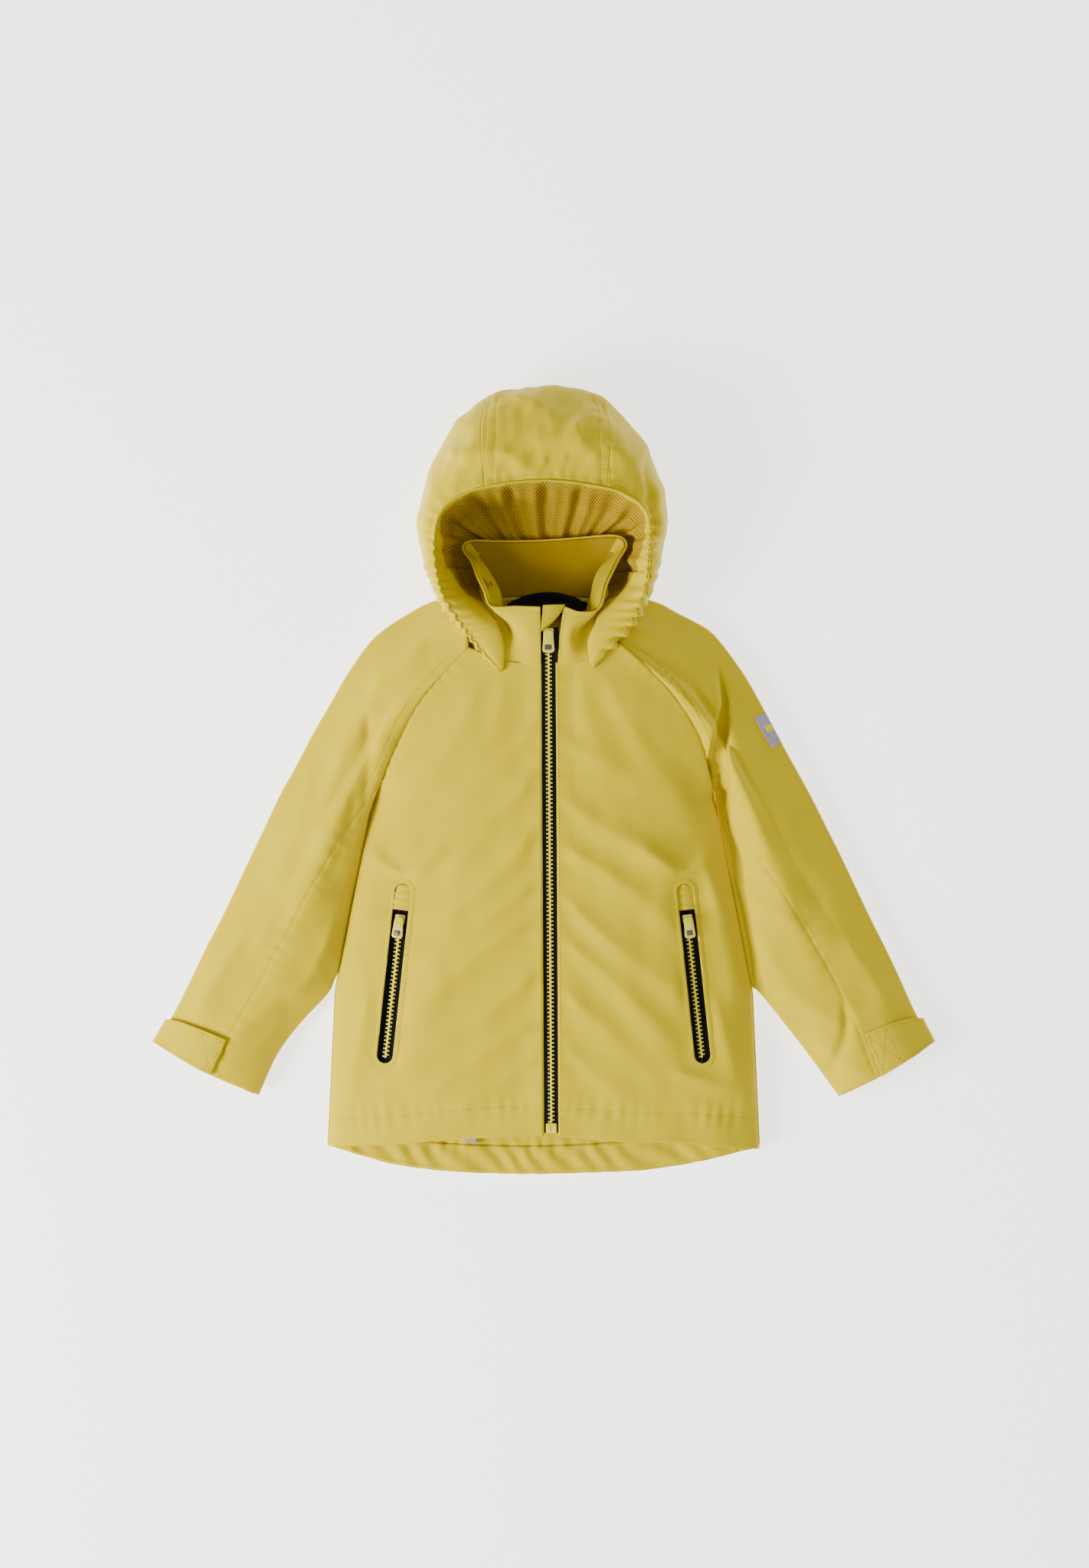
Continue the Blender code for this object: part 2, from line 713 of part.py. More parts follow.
for side, hand in ((-1, "right"), (1, "left")):
    top = pocket_frame(side, 0.0)
    tape_length = POCKET_LENGTH + 0.008
    box("pocket_tape_" + hand, (POCKET_SLOT + 0.006, tape_length, TAPE_THICK),
        (0, 0.004 - tape_length / 2, -TAPE_SINK - TAPE_THICK / 2), TAPE, top)
    row_length = POCKET_LENGTH - 0.004
    box("pocket_teeth_" + hand, (2 * TOOTH_REACH, row_length, TOOTH_HEIGHT),
        (0, -0.002 - row_length / 2, -TAPE_SINK + GAP / 2 + TOOTH_HEIGHT / 2), TEETH, top)
    garage_z = -TAPE_SINK + GAP + TOOTH_HEIGHT + CLOTH / 2
    garage = outline_solid("pocket_garage_" + hand, stadium(GARAGE_LENGTH, POCKET_SLOT - 3 * GAP), CLOTH,
                           SHELL, top @ Matrix.Translation((0, -GARAGE_LENGTH / 2 - 0.001, garage_z)))
    at = pocket_frame(side, POCKET_SLIDER_AT + SLIDER_LENGTH / 2) @ Matrix.Translation((0, 0, -TAPE_SINK))
    slider("pocket_slider_" + hand, at)
    puller("pocket_puller_" + hand, puller_frame(at))
    pocket_bag("pocket_bag_" + hand, side)


# ---------------------------------------------------------------- collar and hood
def collar_point(turn, rise):
    """Stand collar: turn 0 is the front, pi the back; rise runs from neck seam to top edge."""
    back = (1 - math.cos(turn)) / 2
    low = Vector((COLLAR_HALF * math.sin(turn), blend(LIFT_Y + 0.002, NECK_BACK_Y + 0.004, back),
                  blend(LIFT_Z - 0.003, 0.0060, back ** 0.8)))
    high = Vector((COLLAR_HALF * 1.05 * math.sin(turn), blend(LIFT_Y + 0.017, NECK_BACK_Y + COLLAR_HEIGHT, back),
                   blend(LIFT_Z + 0.002, 0.0150, back ** 0.8)))
    return low.lerp(high, rise)


def collar_wall(name, inset, thickness, mat, first_rise, last_rise, open_turn):
    rows = []
    for i in range(3):
        rise = blend(first_rise, last_rise, i / 2)
        row = []
        for j in range(25):
            turn = blend(open_turn, 2 * math.pi - open_turn, j / 24)
            place = collar_point(turn, rise)
            toward = Vector((-math.sin(turn), 0, 0.9 * math.cos(turn / 2) ** 2 * -1 + 0.9 * math.sin(turn / 2) ** 2))
            row.append(place + toward * inset)
        rows.append(row)

    def outward(place):
        return Vector((place.x, 0, place.z - 0.034))

    return sheet(name, rows, thickness, mat, outward)


collar_wall("collar", 0.0, 0.0012, SHELL, 0.0, 1.0, 0.16)
collar_wall("collar_lining", 0.0012 + GAP, 0.0008, LINING, 0.05, 0.97, 0.20)


def neck_facing():
    """Dark strip sewn inside the back of the neck."""
    rows = []
    for i in range(3):
        row = []
        for j in range(13):
            x = blend(-0.036, 0.036, j / 12)
            y = NECK_BACK_Y + 0.008 + FACING_WIDTH * i / 2 - 0.006 * (x / 0.036) ** 2
            base = collar_point(math.pi - x / COLLAR_HALF, 0.0)
            top = collar_point(math.pi - x / COLLAR_HALF, 1.0)
            t = (y - base.y) / (top.y - base.y)
            row.append(Vector((x, y, blend(base.z, top.z, t) + 0.0042)))
        rows.append(row)
    return sheet("neck_facing", rows, PATCH_THICK, DARK, up)


def hanger_loop():
    curve = bpy.data.curves.new("hanger_loop", "CURVE")
    curve.dimensions = "3D"
    curve.bevel_depth = 0.0012
    curve.bevel_resolution = 2
    curve.use_fill_caps = True
    spline = curve.splines.new("POLY")
    spline.points.add(12)
    for i, point in enumerate(spline.points):
        turn = math.pi * i / 12
        x = 0.016 * math.cos(turn)
        base = collar_point(math.pi, 0.30).z
        point.co = (x, NECK_BACK_Y + 0.014 + 0.009 * math.sin(turn), base + 0.0080 + 0.001 * math.sin(turn), 1)
    obj = bpy.data.objects.new("hanger_loop", curve)
    curve.materials.append(DARK)
    parts.objects.link(obj)
    return obj


def chin_guard():
    """Folded triangle of cloth that covers the end of the zip."""
    outline = [(-0.002, 0.018), (0.015, 0.017), (0.002, 0.003)]
    frame = Matrix.Translation((zip_x(LIFT_Y), LIFT_Y, LIFT_Z + 0.0040))
    return outline_solid("chin_guard", outline, 0.0016, LINING, frame)


neck_facing()
hanger_loop()
chin_guard()

HOOD_RIM = [(0.076, 0.151, 0.064), (0.084, 0.164, 0.068), (0.097, 0.199, 0.076),
            (0.1005, 0.234, 0.084), (0.088, 0.252, 0.090), (0.063, 0.263, 0.094),
            (0.032, 0.269, 0.097), (0.0, 0.271, 0.098)]
HOOD_OUTER = [(0.088, 0.153, 0.046), (0.097, 0.168, 0.046), (0.108, 0.199, 0.046),
              (0.114, 0.235, 0.046), (0.105, 0.285, 0.046), (0.080, 0.325, 0.048),
              (0.045, 0.353, 0.050), (0.0, 0.3594, 0.052)]
HOOD_FLOOR = [(0.088, 0.172, 0.014), (0.092, 0.180, 0.006), (0.098, 0.204, 0.003),
              (0.100, 0.235, 0.002), (0.093, 0.275, 0.002), (0.074, 0.305, 0.002),
              (0.042, 0.325, 0.002), (0.0, 0.333, 0.002)]
HOOD_CLOTH = 0.0010
LINING_CLOTH = 0.0006
LINING_INSET = HOOD_CLOTH + 0.0019
CENTRE_SHARE = 0.80     # where the side panel meets the centre panel, along the rim
CENTRE_HALF = 0.0425    # half the centre panel's width at the neck
HOOD_NECK_Y = NECK_BACK_Y + 0.006
HOOD_REST_Z = 0.0012


def along_hood(line, share):
    spots = smooth_path(line, 113)
    return spots[round(share * 112)]


def seam_x(y):
    """Lower run of the seam between the side panel and the centre panel."""
    top = along_hood(HOOD_FLOOR, CENTRE_SHARE)
    t = (y - HOOD_NECK_Y) / (top.y - HOOD_NECK_Y)
    return blend(CENTRE_HALF, top.x, t)


def hood_section(share, centre, side=1):
    """From the rim over the outer fold to the floor, then in to the panel's lower edge."""
    rim = along_hood(HOOD_RIM, share)
    outer = along_hood(HOOD_OUTER, share)
    floor = along_hood(HOOD_FLOOR, share)
    if centre:
        x = CENTRE_HALF * (1 - share) / (1 - CENTRE_SHARE)
        inner = Vector((x, HOOD_NECK_Y, HOOD_REST_Z))
    else:
        y = max(floor.y - 0.004, HOOD_NECK_Y)
        inner = Vector((seam_x(y) + 2 * GAP, y, HOOD_REST_Z))
    crown = rim.lerp(outer, 0.45) + Vector((0, 0, 0.010))
    flank = outer.lerp(floor, 0.55) + Vector((outer.x - floor.x, outer.y - floor.y, 0)) * 0.30
    path = smooth_path([rim, crown, outer, flank, floor], 11)
    path += [floor.lerp(inner, i / 2) for i in range(1, 3)]
    return [Vector((p.x * side, p.y, max(p.z, HOOD_REST_Z))) for p in path]


def hood_outward(place):
    return Vector((place.x * 1.4, place.y - 0.24, (place.z - 0.05) * 2))


def hood_side(name, side, inset, thickness, mat, first=0.0):
    rows = [hood_section(blend(first, CENTRE_SHARE - 0.010, i / 9), False, side) for i in range(10)]
    rows = [row[1:] for row in rows] if inset else rows
    return sheet(name, rows, thickness, mat, hood_outward, inset=inset)


def hood_centre(name, inset, thickness, mat):
    shares = [blend(CENTRE_SHARE, 1.0, i / 3) for i in range(4)]
    rows = [hood_section(share, True, -1) for share in shares]
    rows += [hood_section(share, True, 1) for share in reversed(shares[:-1])]
    rows = [row[1:] for row in rows] if inset else rows
    return sheet(name, rows, thickness, mat, hood_outward, inset=inset)


def hood_binding():
    """Gathered elastic binding round the opening."""
    lift = Vector((0, 0, BINDING_R + 3 * GAP))
    half = [p + lift for p in smooth_path(HOOD_RIM, 15)]
    path = [Vector((-p.x, p.y, p.z)) for p in half] + list(reversed(half[:-1]))
    curve = bpy.data.curves.new("hood_binding", "CURVE")
    curve.dimensions = "3D"
    curve.bevel_depth = BINDING_R
    curve.bevel_resolution = 2
    curve.use_fill_caps = True
    spline = curve.splines.new("POLY")
    spline.points.add(len(path) - 1)
    for point, place in zip(spline.points, path):
        point.co = (*place, 1)
    obj = bpy.data.objects.new("hood_binding", curve)
    curve.materials.append(ELASTIC)
    parts.objects.link(obj)
    return obj


BINDING_R = 0.0026
for side, hand in ((-1, "right"), (1, "left")):
    hood_side("hood_side_" + hand, side, 0.0, HOOD_CLOTH, SHELL)
    hood_side("hood_lining_" + hand, side, LINING_INSET, LINING_CLOTH, MESH, first=0.10)
hood_centre("hood_centre", 0.0, HOOD_CLOTH, SHELL)
hood_centre("hood_lining_centre", LINING_INSET, LINING_CLOTH, MESH)
hood_binding()
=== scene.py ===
import math

import bmesh
import bpy
import numpy as np
from mathutils import Matrix, Vector
from mathutils.bvhtree import BVHTree


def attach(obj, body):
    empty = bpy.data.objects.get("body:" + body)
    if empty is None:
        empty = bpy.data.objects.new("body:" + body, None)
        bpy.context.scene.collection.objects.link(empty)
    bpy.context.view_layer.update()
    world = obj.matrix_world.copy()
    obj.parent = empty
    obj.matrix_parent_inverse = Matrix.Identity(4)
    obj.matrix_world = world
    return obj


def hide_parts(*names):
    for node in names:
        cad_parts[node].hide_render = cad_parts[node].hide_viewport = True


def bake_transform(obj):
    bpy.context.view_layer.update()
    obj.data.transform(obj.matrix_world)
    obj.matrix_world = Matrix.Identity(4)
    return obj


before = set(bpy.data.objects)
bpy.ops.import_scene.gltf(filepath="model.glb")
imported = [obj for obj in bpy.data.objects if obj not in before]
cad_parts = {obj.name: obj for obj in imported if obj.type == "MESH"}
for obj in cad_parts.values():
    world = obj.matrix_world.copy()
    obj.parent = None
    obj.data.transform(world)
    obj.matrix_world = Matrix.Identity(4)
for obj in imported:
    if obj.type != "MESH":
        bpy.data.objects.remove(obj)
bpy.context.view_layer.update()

# ======================================================================= light, floor, camera
# The jacket lies on its back on a pale table top and is seen from straight above. A large soft
# light stands to the upper left, and a weak one opposite keeps the shaded folds open.
CAMERA_HEIGHT = 3.216
floor_mesh = bpy.data.meshes.new("floor")
floor_mesh.from_pydata([(-3, -3, -0.0006), (3, -3, -0.0006), (3, 3, -0.0006), (-3, 3, -0.0006)], [],
                       [(0, 1, 2, 3)])
floor = bpy.data.objects.new("floor", floor_mesh)
bpy.context.scene.collection.objects.link(floor)
floor_mat = bpy.data.materials.new("pale_table")
floor_mat.use_nodes = True
floor_shader = floor_mat.node_tree.nodes["Principled BSDF"]
floor_shader.inputs["Base Color"].default_value = (0.93, 0.93, 0.935, 1)
floor_shader.inputs["Roughness"].default_value = 0.9
floor_shader.inputs["Emission Color"].default_value = (1, 1, 1, 1)
floor_shader.inputs["Emission Strength"].default_value = 1.9
floor_mesh.materials.append(floor_mat)

camera_data = bpy.data.cameras.new("camera")
camera_data.lens = 80
camera_data.sensor_width = 36
camera = bpy.data.objects.new("camera", camera_data)
camera.location = (0.0007, 0.0, CAMERA_HEIGHT)
bpy.context.scene.collection.objects.link(camera)
bpy.context.scene.camera = camera


def soft_light(name, place, size, power, target=(0, 0, 0)):
    data = bpy.data.lights.new(name, "AREA")
    data.size = size
    data.energy = power
    lamp = bpy.data.objects.new(name, data)
    lamp.location = place
    aim = Vector(target) - Vector(place)
    lamp.rotation_euler = aim.to_track_quat("-Z", "Y").to_euler()
    bpy.context.scene.collection.objects.link(lamp)


soft_light("key_light", (-2.25, -0.85, 1.45), 1.1, 152)
soft_light("fill_light", (1.2, -1.0, 2.6), 2.4, 14)
world = bpy.data.worlds.new("studio")
bpy.context.scene.world = world
world.use_nodes = True
world.node_tree.nodes["Background"].inputs["Color"].default_value = (1.0, 1.0, 1.0, 1)
world.node_tree.nodes["Background"].inputs["Strength"].default_value = 0.62

# ======================================================================= coated yellow cloth
# The shell is a closely woven polyester with a soft water-repellent coating. It is satin matte,
# its weave only shows close up, and its dye shifts a little where it has been handled.


def node_group(name, outputs):
    """A group with these named outputs and a Scale input, and a helper to add nodes in it."""
    group = bpy.data.node_groups.new(name, "ShaderNodeTree")
    group.interface.new_socket("Scale", in_out="INPUT", socket_type="NodeSocketFloat")
    for label, kind in outputs:
        group.interface.new_socket(label, in_out="OUTPUT", socket_type=kind)
    return group, group.nodes.new("NodeGroupInput"), group.nodes.new("NodeGroupOutput")


weave, weave_in, weave_out = node_group(
    "woven_cloth", [("Threads", "NodeSocketFloat"), ("Cloud", "NodeSocketFloat"), ("Fibre", "NodeSocketFloat")])
coords = weave.nodes.new("ShaderNodeTexCoord")
waves = []
for axis in ("X", "Y"):
    wave = weave.nodes.new("ShaderNodeTexWave")
    wave.bands_direction = axis
    wave.inputs["Distortion"].default_value = 0.6
    wave.inputs["Detail"].default_value = 1.0
    weave.links.new(coords.outputs["Object"], wave.inputs["Vector"])
    weave.links.new(weave_in.outputs["Scale"], wave.inputs["Scale"])
    waves.append(wave)
cross = weave.nodes.new("ShaderNodeMath")
cross.operation = "MULTIPLY"
weave.links.new(waves[0].outputs["Fac"], cross.inputs[0])
weave.links.new(waves[1].outputs["Fac"], cross.inputs[1])
weave.links.new(cross.outputs[0], weave_out.inputs["Threads"])
cloud = weave.nodes.new("ShaderNodeTexNoise")
cloud.inputs["Scale"].default_value = 9.0
cloud.inputs["Detail"].default_value = 5.0
weave.links.new(coords.outputs["Object"], cloud.inputs["Vector"])
weave.links.new(cloud.outputs["Fac"], weave_out.inputs["Cloud"])
fibre = weave.nodes.new("ShaderNodeTexNoise")
fibre.inputs["Scale"].default_value = 900.0
fibre.inputs["Detail"].default_value = 3.0
weave.links.new(coords.outputs["Object"], fibre.inputs["Vector"])
weave.links.new(fibre.outputs["Fac"], weave_out.inputs["Fibre"])


def cloth_material(name, dark, light, roughness, weave_scale, bump, sheen=0.0, depth=0.0004):
    """Woven cloth: colour wanders between two dyes, with thread bump and a rough sheen."""
    mat = bpy.data.materials.new(name)
    mat.use_nodes = True
    nodes, links = mat.node_tree.nodes, mat.node_tree.links
    shader = nodes["Principled BSDF"]
    group = nodes.new("ShaderNodeGroup")
    group.node_tree = weave
    group.inputs["Scale"].default_value = weave_scale
    ramp = nodes.new("ShaderNodeValToRGB")
    ramp.color_ramp.elements[0].position = 0.30
    ramp.color_ramp.elements[0].color = (*dark, 1)
    ramp.color_ramp.elements[1].position = 0.70
    ramp.color_ramp.elements[1].color = (*light, 1)
    links.new(group.outputs["Cloud"], ramp.inputs["Fac"])
    tint = nodes.new("ShaderNodeMix")
    tint.data_type = "RGBA"
    tint.blend_type = "MULTIPLY"
    tint.inputs[0].default_value = 0.10
    links.new(ramp.outputs["Color"], tint.inputs[6])
    links.new(group.outputs["Threads"], tint.inputs[7])
    links.new(tint.outputs[2], shader.inputs["Base Color"])
    rough = nodes.new("ShaderNodeMapRange")
    rough.inputs["To Min"].default_value = roughness - 0.06
    rough.inputs["To Max"].default_value = roughness + 0.06
    links.new(group.outputs["Fibre"], rough.inputs["Value"])
    links.new(rough.outputs["Result"], shader.inputs["Roughness"])
    relief = nodes.new("ShaderNodeBump")
    relief.inputs["Strength"].default_value = bump
    relief.inputs["Distance"].default_value = depth
    links.new(group.outputs["Threads"], relief.inputs["Height"])
    links.new(relief.outputs["Normal"], shader.inputs["Normal"])
    shader.inputs["Sheen Weight"].default_value = sheen
    shader.inputs["Sheen Roughness"].default_value = 0.5
    shader.inputs["Sheen Tint"].default_value = (*light, 1)
    shader.inputs["Specular IOR Level"].default_value = 0.16
    shader.inputs["Specular Tint"].default_value = (*light, 1)
    return mat


YELLOW = cloth_material("coated_yellow_cloth", (0.64, 0.485, 0.002), (0.70, 0.535, 0.003), 0.52, 420, 0.25,
                        0.02)
THREAD = cloth_material("yellow_thread", (0.47, 0.34, 0.008), (0.55, 0.40, 0.012), 0.60, 900, 0.6)

# ======================================================================= how cloth pieces are cut and folded
# Every panel is laid out as a fine grid of points, given its folds and puckers, and then gets
# the thickness of its cloth. Seams pull the cloth down in a groove with small puckers beside it.


def curve_through(points, count):
    """Smooth line through a few points, at even steps of its length."""
    pts = np.array(points, float)
    pts = np.vstack([2 * pts[0] - pts[1], pts, 2 * pts[-1] - pts[-2]])
    out = []
    for k in range(1, len(pts) - 2):
        a, b, c, d = pts[k - 1], pts[k], pts[k + 1], pts[k + 2]
        for t in np.linspace(0, 1, 24, endpoint=False):
            out.append(0.5 * (2 * b + (c - a) * t + (2 * a - 5 * b + 4 * c - d) * t ** 2
                              + (3 * b - a - 3 * c + d) * t ** 3))
    out.append(pts[-2])
    return evenly(np.array(out), count)


def evenly(line, count):
    steps = np.r_[0, np.cumsum(np.linalg.norm(np.diff(line, axis=0), axis=1))]
    marks = np.linspace(0, steps[-1], count)
    return np.stack([np.interp(marks, steps, line[:, k]) for k in range(line.shape[1])], 1)


def mirror_x(points):
    flipped = np.array(points, float)
    flipped[..., 0] *= -1
    return flipped


def to_line(xy, line):
    """Distance from each point to a line, and how far along the line the nearest spot is."""
    xy = xy.reshape(-1, 2)
    best = np.full(len(xy), 1e9)
    along = np.zeros(len(xy))
    run = 0.0
    for a, b in zip(line[:-1], line[1:]):
        d = b - a
        length = np.linalg.norm(d)
        t = np.clip(((xy - a) @ d) / (length ** 2), 0, 1)
        gap = np.linalg.norm(xy - (a + t[:, None] * d), axis=1)
        near = gap < best
        best = np.where(near, gap, best)
        along = np.where(near, run + t * length, along)
        run += length
    return best, along


def seam_relief(xy, line, groove=0.0007, width=0.0011, pucker=0.0005, reach=0.007, pitch=0.011, seed=1):
    """Groove along a seam, with puckers that die out beside it."""
    gap, along = to_line(xy, np.array(line)[:, :2])
    wander = np.sin(along * 90 + seed) * 1.3 + np.sin(along * 37 + 2 * seed) * 1.1
    ripple = np.sin(2 * math.pi * along / pitch + wander)
    strength = 0.65 + 0.35 * np.sin(along * 61 + 3 * seed)
    rise = pucker * ripple * strength * np.exp(-(gap / reach) ** 1.5)
    return (rise - groove * np.exp(-(gap / width) ** 2)).reshape(xy.shape[:-1])


def crease(xy, start, end, width, height, bend=0.0, sharp=0.5):
    """One soft fold between two points; a positive bend bows it to the left of its run."""
    a, b = np.array(start, float), np.array(end, float)
    d = b - a
    length = np.linalg.norm(d)
    d = d / length
    n = np.array([-d[1], d[0]])
    rel = xy - a
    t = (rel @ d) / length
    off = rel @ n - bend * 4 * t * (1 - t)
    fade = np.clip(np.minimum(t + 0.18, 1.18 - t) / 0.36, 0, 1)
    fade = fade * fade * (3 - 2 * fade)
    wide = width * (0.65 + 0.7 * np.clip(t, 0, 1))
    q = off / wide
    shape = np.exp(-np.abs(q) ** (2 - sharp * (q > 0)))
    return height * fade * shape


def drift(xy, angle, wave, height, seed, count=7, spread=0.5):
    """Loose undulation: waves mostly across one direction, given in degrees."""
    rng = np.random.default_rng(seed)
    total = np.zeros(xy.shape[:-1])
    for _k in range(count):
        turn = math.radians(angle) + rng.normal(0, spread * 0.5)
        size = wave * rng.uniform(0.6, 1.6)
        phase = rng.uniform(0, 6.28)
        across = -math.sin(turn) * xy[..., 0] + math.cos(turn) * xy[..., 1]
        on = math.cos(turn) * xy[..., 0] + math.sin(turn) * xy[..., 1]
        total += np.sin(6.28 * across / size + phase + 1.1 * np.sin(6.28 * on / (size * 2.7) + phase * 2))
    return height * total / math.sqrt(count)


def as_mesh(name, points, mat, closed=False, facing=(0, 0, 1), keep=None):
    """Grid of points as a smooth mesh whose faces look towards a direction."""
    rows, cols = points.shape[:2]
    verts = points.reshape(-1, 3)
    faces = []
    wrap = cols if closed else cols - 1
    for i in range(rows - 1):
        for j in range(wrap):
            k = (j + 1) % cols
            if keep is None or keep[i, j]:
                faces.append((i * cols + j, i * cols + k, (i + 1) * cols + k, (i + 1) * cols + j))
    mesh = bpy.data.meshes.new(name)
    mesh.from_pydata(verts.tolist(), [], faces)
    mesh.update()
    mesh.materials.append(mat)
    area = np.array([p.area for p in mesh.polygons])
    normals = np.array([p.normal for p in mesh.polygons])
    if callable(facing):
        centres = np.array([p.center for p in mesh.polygons])
        lean = (normals * facing(centres)).sum(1) @ area
    else:
        lean = (normals @ np.array(facing, float)) @ area
    if lean < 0:
        mesh.flip_normals()
    mesh.shade_smooth()
    obj = bpy.data.objects.new(name, mesh)
    bpy.context.scene.collection.objects.link(obj)
    bm = bmesh.new()
    bm.from_mesh(mesh)
    bmesh.ops.delete(bm, geom=[v for v in bm.verts if not v.link_faces], context="VERTS")
    bm.to_mesh(mesh)
    bm.free()
    return obj


def finish_modifiers(obj):
    """Applies every modifier on a piece."""
    bpy.ops.object.select_all(action="DESELECT")
    bpy.context.view_layer.objects.active = obj
    obj.select_set(True)
    for modifier in list(obj.modifiers):
        bpy.ops.object.modifier_apply(modifier=modifier.name)
    obj.select_set(False)


def cloth(obj, thickness, offset=-1.0):
    """Gives a laid-out panel the thickness of its cloth."""
    solid = obj.modifiers.new("thickness", "SOLIDIFY")
    solid.thickness = thickness
    solid.offset = offset
    solid.use_rim = True
    finish_modifiers(obj)
    return obj


def lay_on(obj, xy, lift=0.0, from_z=0.5):
    """Places and normals on a piece's upper side under points in plan."""
    tree = BVHTree.FromObject(obj, bpy.context.evaluated_depsgraph_get())
    places, normals = [], []
    for x, y in xy:
        hit, normal, _index, _distance = tree.ray_cast(Vector((x, y, from_z)), Vector((0, 0, -1)))
        if hit is None:
            hit, normal, _index, _distance = tree.find_nearest(Vector((x, y, 0.02)))
        if normal.z < 0:
            normal = -normal
        places.append(hit + normal * lift)
        normals.append(normal)
    return places, normals


def stitches(name, onto, lines, length=0.0024, gap=0.0009, thick=0.00042, mat=None, lift=0.00005):
    """Rows of machine stitches lying on a piece: one small rounded bar per stitch."""
    verts, faces = [], []
    for line in lines:
        line = np.array(line, float)[:, :2]
        total = np.linalg.norm(np.diff(line, axis=0), axis=1).sum()
        count = max(int(total / (length + gap)), 1)
        marks = evenly(line, count * 2 + 1)
        places, normals = lay_on(onto, marks, lift)
        for k in range(count):
            a, b = places[2 * k], places[2 * k + 1]
            run = b - a
            if run.length < 1e-5 or run.length > 4 * length:
                continue
            reach = run.normalized() * min(length / 2, run.length * 0.72)
            mid = (a + b) / 2
            up = (normals[2 * k] + normals[2 * k + 1]).normalized()
            side = run.cross(up).normalized() * thick
            first = len(verts)
            for share, wide, high in ((-1, 0.35, -0.5), (-0.55, 1, 0.75), (0.55, 1, 0.75), (1, 0.35, -0.5)):
                centre = mid + reach * share
                verts.append(centre - side * wide / 2 + up * (high - 0.6) * thick)
                verts.append(centre + up * high * thick)
                verts.append(centre + side * wide / 2 + up * (high - 0.6) * thick)
                verts.append(centre - up * 1.2 * thick)
            for s in range(3):
                p = first + 4 * s
                for e in range(4):
                    f = (e + 1) % 4
                    faces.append((p + e, p + f, p + 4 + f, p + 4 + e))
            faces.append((first, first + 3, first + 2, first + 1))
            faces.append((first + 12, first + 13, first + 14, first + 15))
    mesh = bpy.data.meshes.new(name)
    mesh.from_pydata([tuple(v) for v in verts], [], faces)
    mesh.materials.append(mat or THREAD)
    bm = bmesh.new()
    bm.from_mesh(mesh)
    bmesh.ops.recalc_face_normals(bm, faces=bm.faces)
    bm.to_mesh(mesh)
    bm.free()
    mesh.shade_smooth()
    obj = bpy.data.objects.new(name, mesh)
    bpy.context.scene.collection.objects.link(obj)
    return obj


def shifted(line, distance):
    """The same line moved sideways in plan, to its left if distance is positive."""
    line = np.array(line, float)
    run = np.gradient(line[:, :2], axis=0)
    run /= np.linalg.norm(run, axis=1)[:, None]
    out = line.copy()
    out[:, 0] -= run[:, 1] * distance
    out[:, 1] += run[:, 0] * distance
    return out


def patch(bottom, top, left, right):
    """Plan points that fill four edge lines: bottom and top run across, left and right run up."""
    s = np.linspace(0, 1, len(bottom))[None, :, None]
    t = np.linspace(0, 1, len(left))[:, None, None]
    flat = ((1 - t) * bottom[None] + t * top[None] + (1 - s) * left[:, None] + s * right[:, None]
            - (1 - s) * (1 - t) * bottom[0] - s * (1 - t) * bottom[-1]
            - (1 - s) * t * top[0] - s * t * top[-1])
    return flat


# ======================================================================= body shape
# Both fronts lie over the back with air between them. The zip line is highest and leans a
# little to one side, and the cloth turns down at the side folds.
SIDE_FOLD = 0.014
ARMPIT_Y = -0.012
HEM_Y = -0.333
CLOTH = 0.0014
SIDE_NAMES = {-1: "right", 1: "left"}


def between(a, b, t):
    return a + (b - a) * np.clip(t, 0, 1)


ZIP_LOW_Z, ZIP_NECK_Z = 0.040, 0.056    # the zip's height over the table, at the hem and at the neck seam
ZIP_FRONT_LENGTH = 0.444                # from the hem to the neck seam


def zip_x(y):
    return between(0.0070, 0.0042, (y + 0.318) / 0.460)


def zip_height(y):
    return between(ZIP_LOW_Z, ZIP_NECK_Z, (y - HEM_Y) / ZIP_FRONT_LENGTH)


def body_width(y):
    """Half width of the body, and above the armpit of the chest that it would have under the sleeves."""
    low = np.interp(y, [-0.370, HEM_Y, -0.190, ARMPIT_Y], [0.1975, 0.1975, 0.191, 0.157])
    return np.where(y > ARMPIT_Y, 0.157 + 0.045 * (y - ARMPIT_Y) / 0.123, low)


def body_top(xy):
    x, y = xy[..., 0], xy[..., 1]
    share = np.clip(np.abs(x) / body_width(y), 0, 1)
    return SIDE_FOLD + (zip_height(y) - SIDE_FOLD) * (1 - share ** 2.6) ** 0.62


# ======================================================================= front panels
# Two coated cloth fronts, sewn to the zip in the middle, to the sleeves along the slanting
# raglan seams and to the back at the side folds. Each has a slot for its pocket zip.
RAGLAN = {
    -1: [(-0.1570, -0.0120), (-0.1530, -0.0040), (-0.1470, 0.0060), (-0.1365, 0.0300), (-0.1240, 0.0560),
         (-0.1090, 0.0800), (-0.0910, 0.1000), (-0.0680, 0.1240)],
    1: [(0.1570, -0.0120), (0.1540, 0.0000), (0.1500, 0.0160), (0.1440, 0.0380), (0.1330, 0.0600),
        (0.1150, 0.0850), (0.0930, 0.1070), (0.0690, 0.1280)],
}
FRONT_HEM = {
    -1: [(-0.0235, -0.3213), (-0.0850, -0.3248), (-0.1400, -0.3297), (-0.1975, -0.3325)],
    1: [(0.0280, -0.3227), (0.0750, -0.3269), (0.1200, -0.3276), (0.1600, -0.3325), (0.1970, -0.3350)],
}
HEM_STITCH = {
    -1: [(-0.0030, -0.2940), (-0.0440, -0.2945), (-0.0850, -0.2980), (-0.1270, -0.3020), (-0.1620, -0.3055),
         (-0.1960, -0.3090)],
    1: [(0.0160, -0.2947), (0.0960, -0.3005), (0.1435, -0.3017), (0.1950, -0.3070)],
}
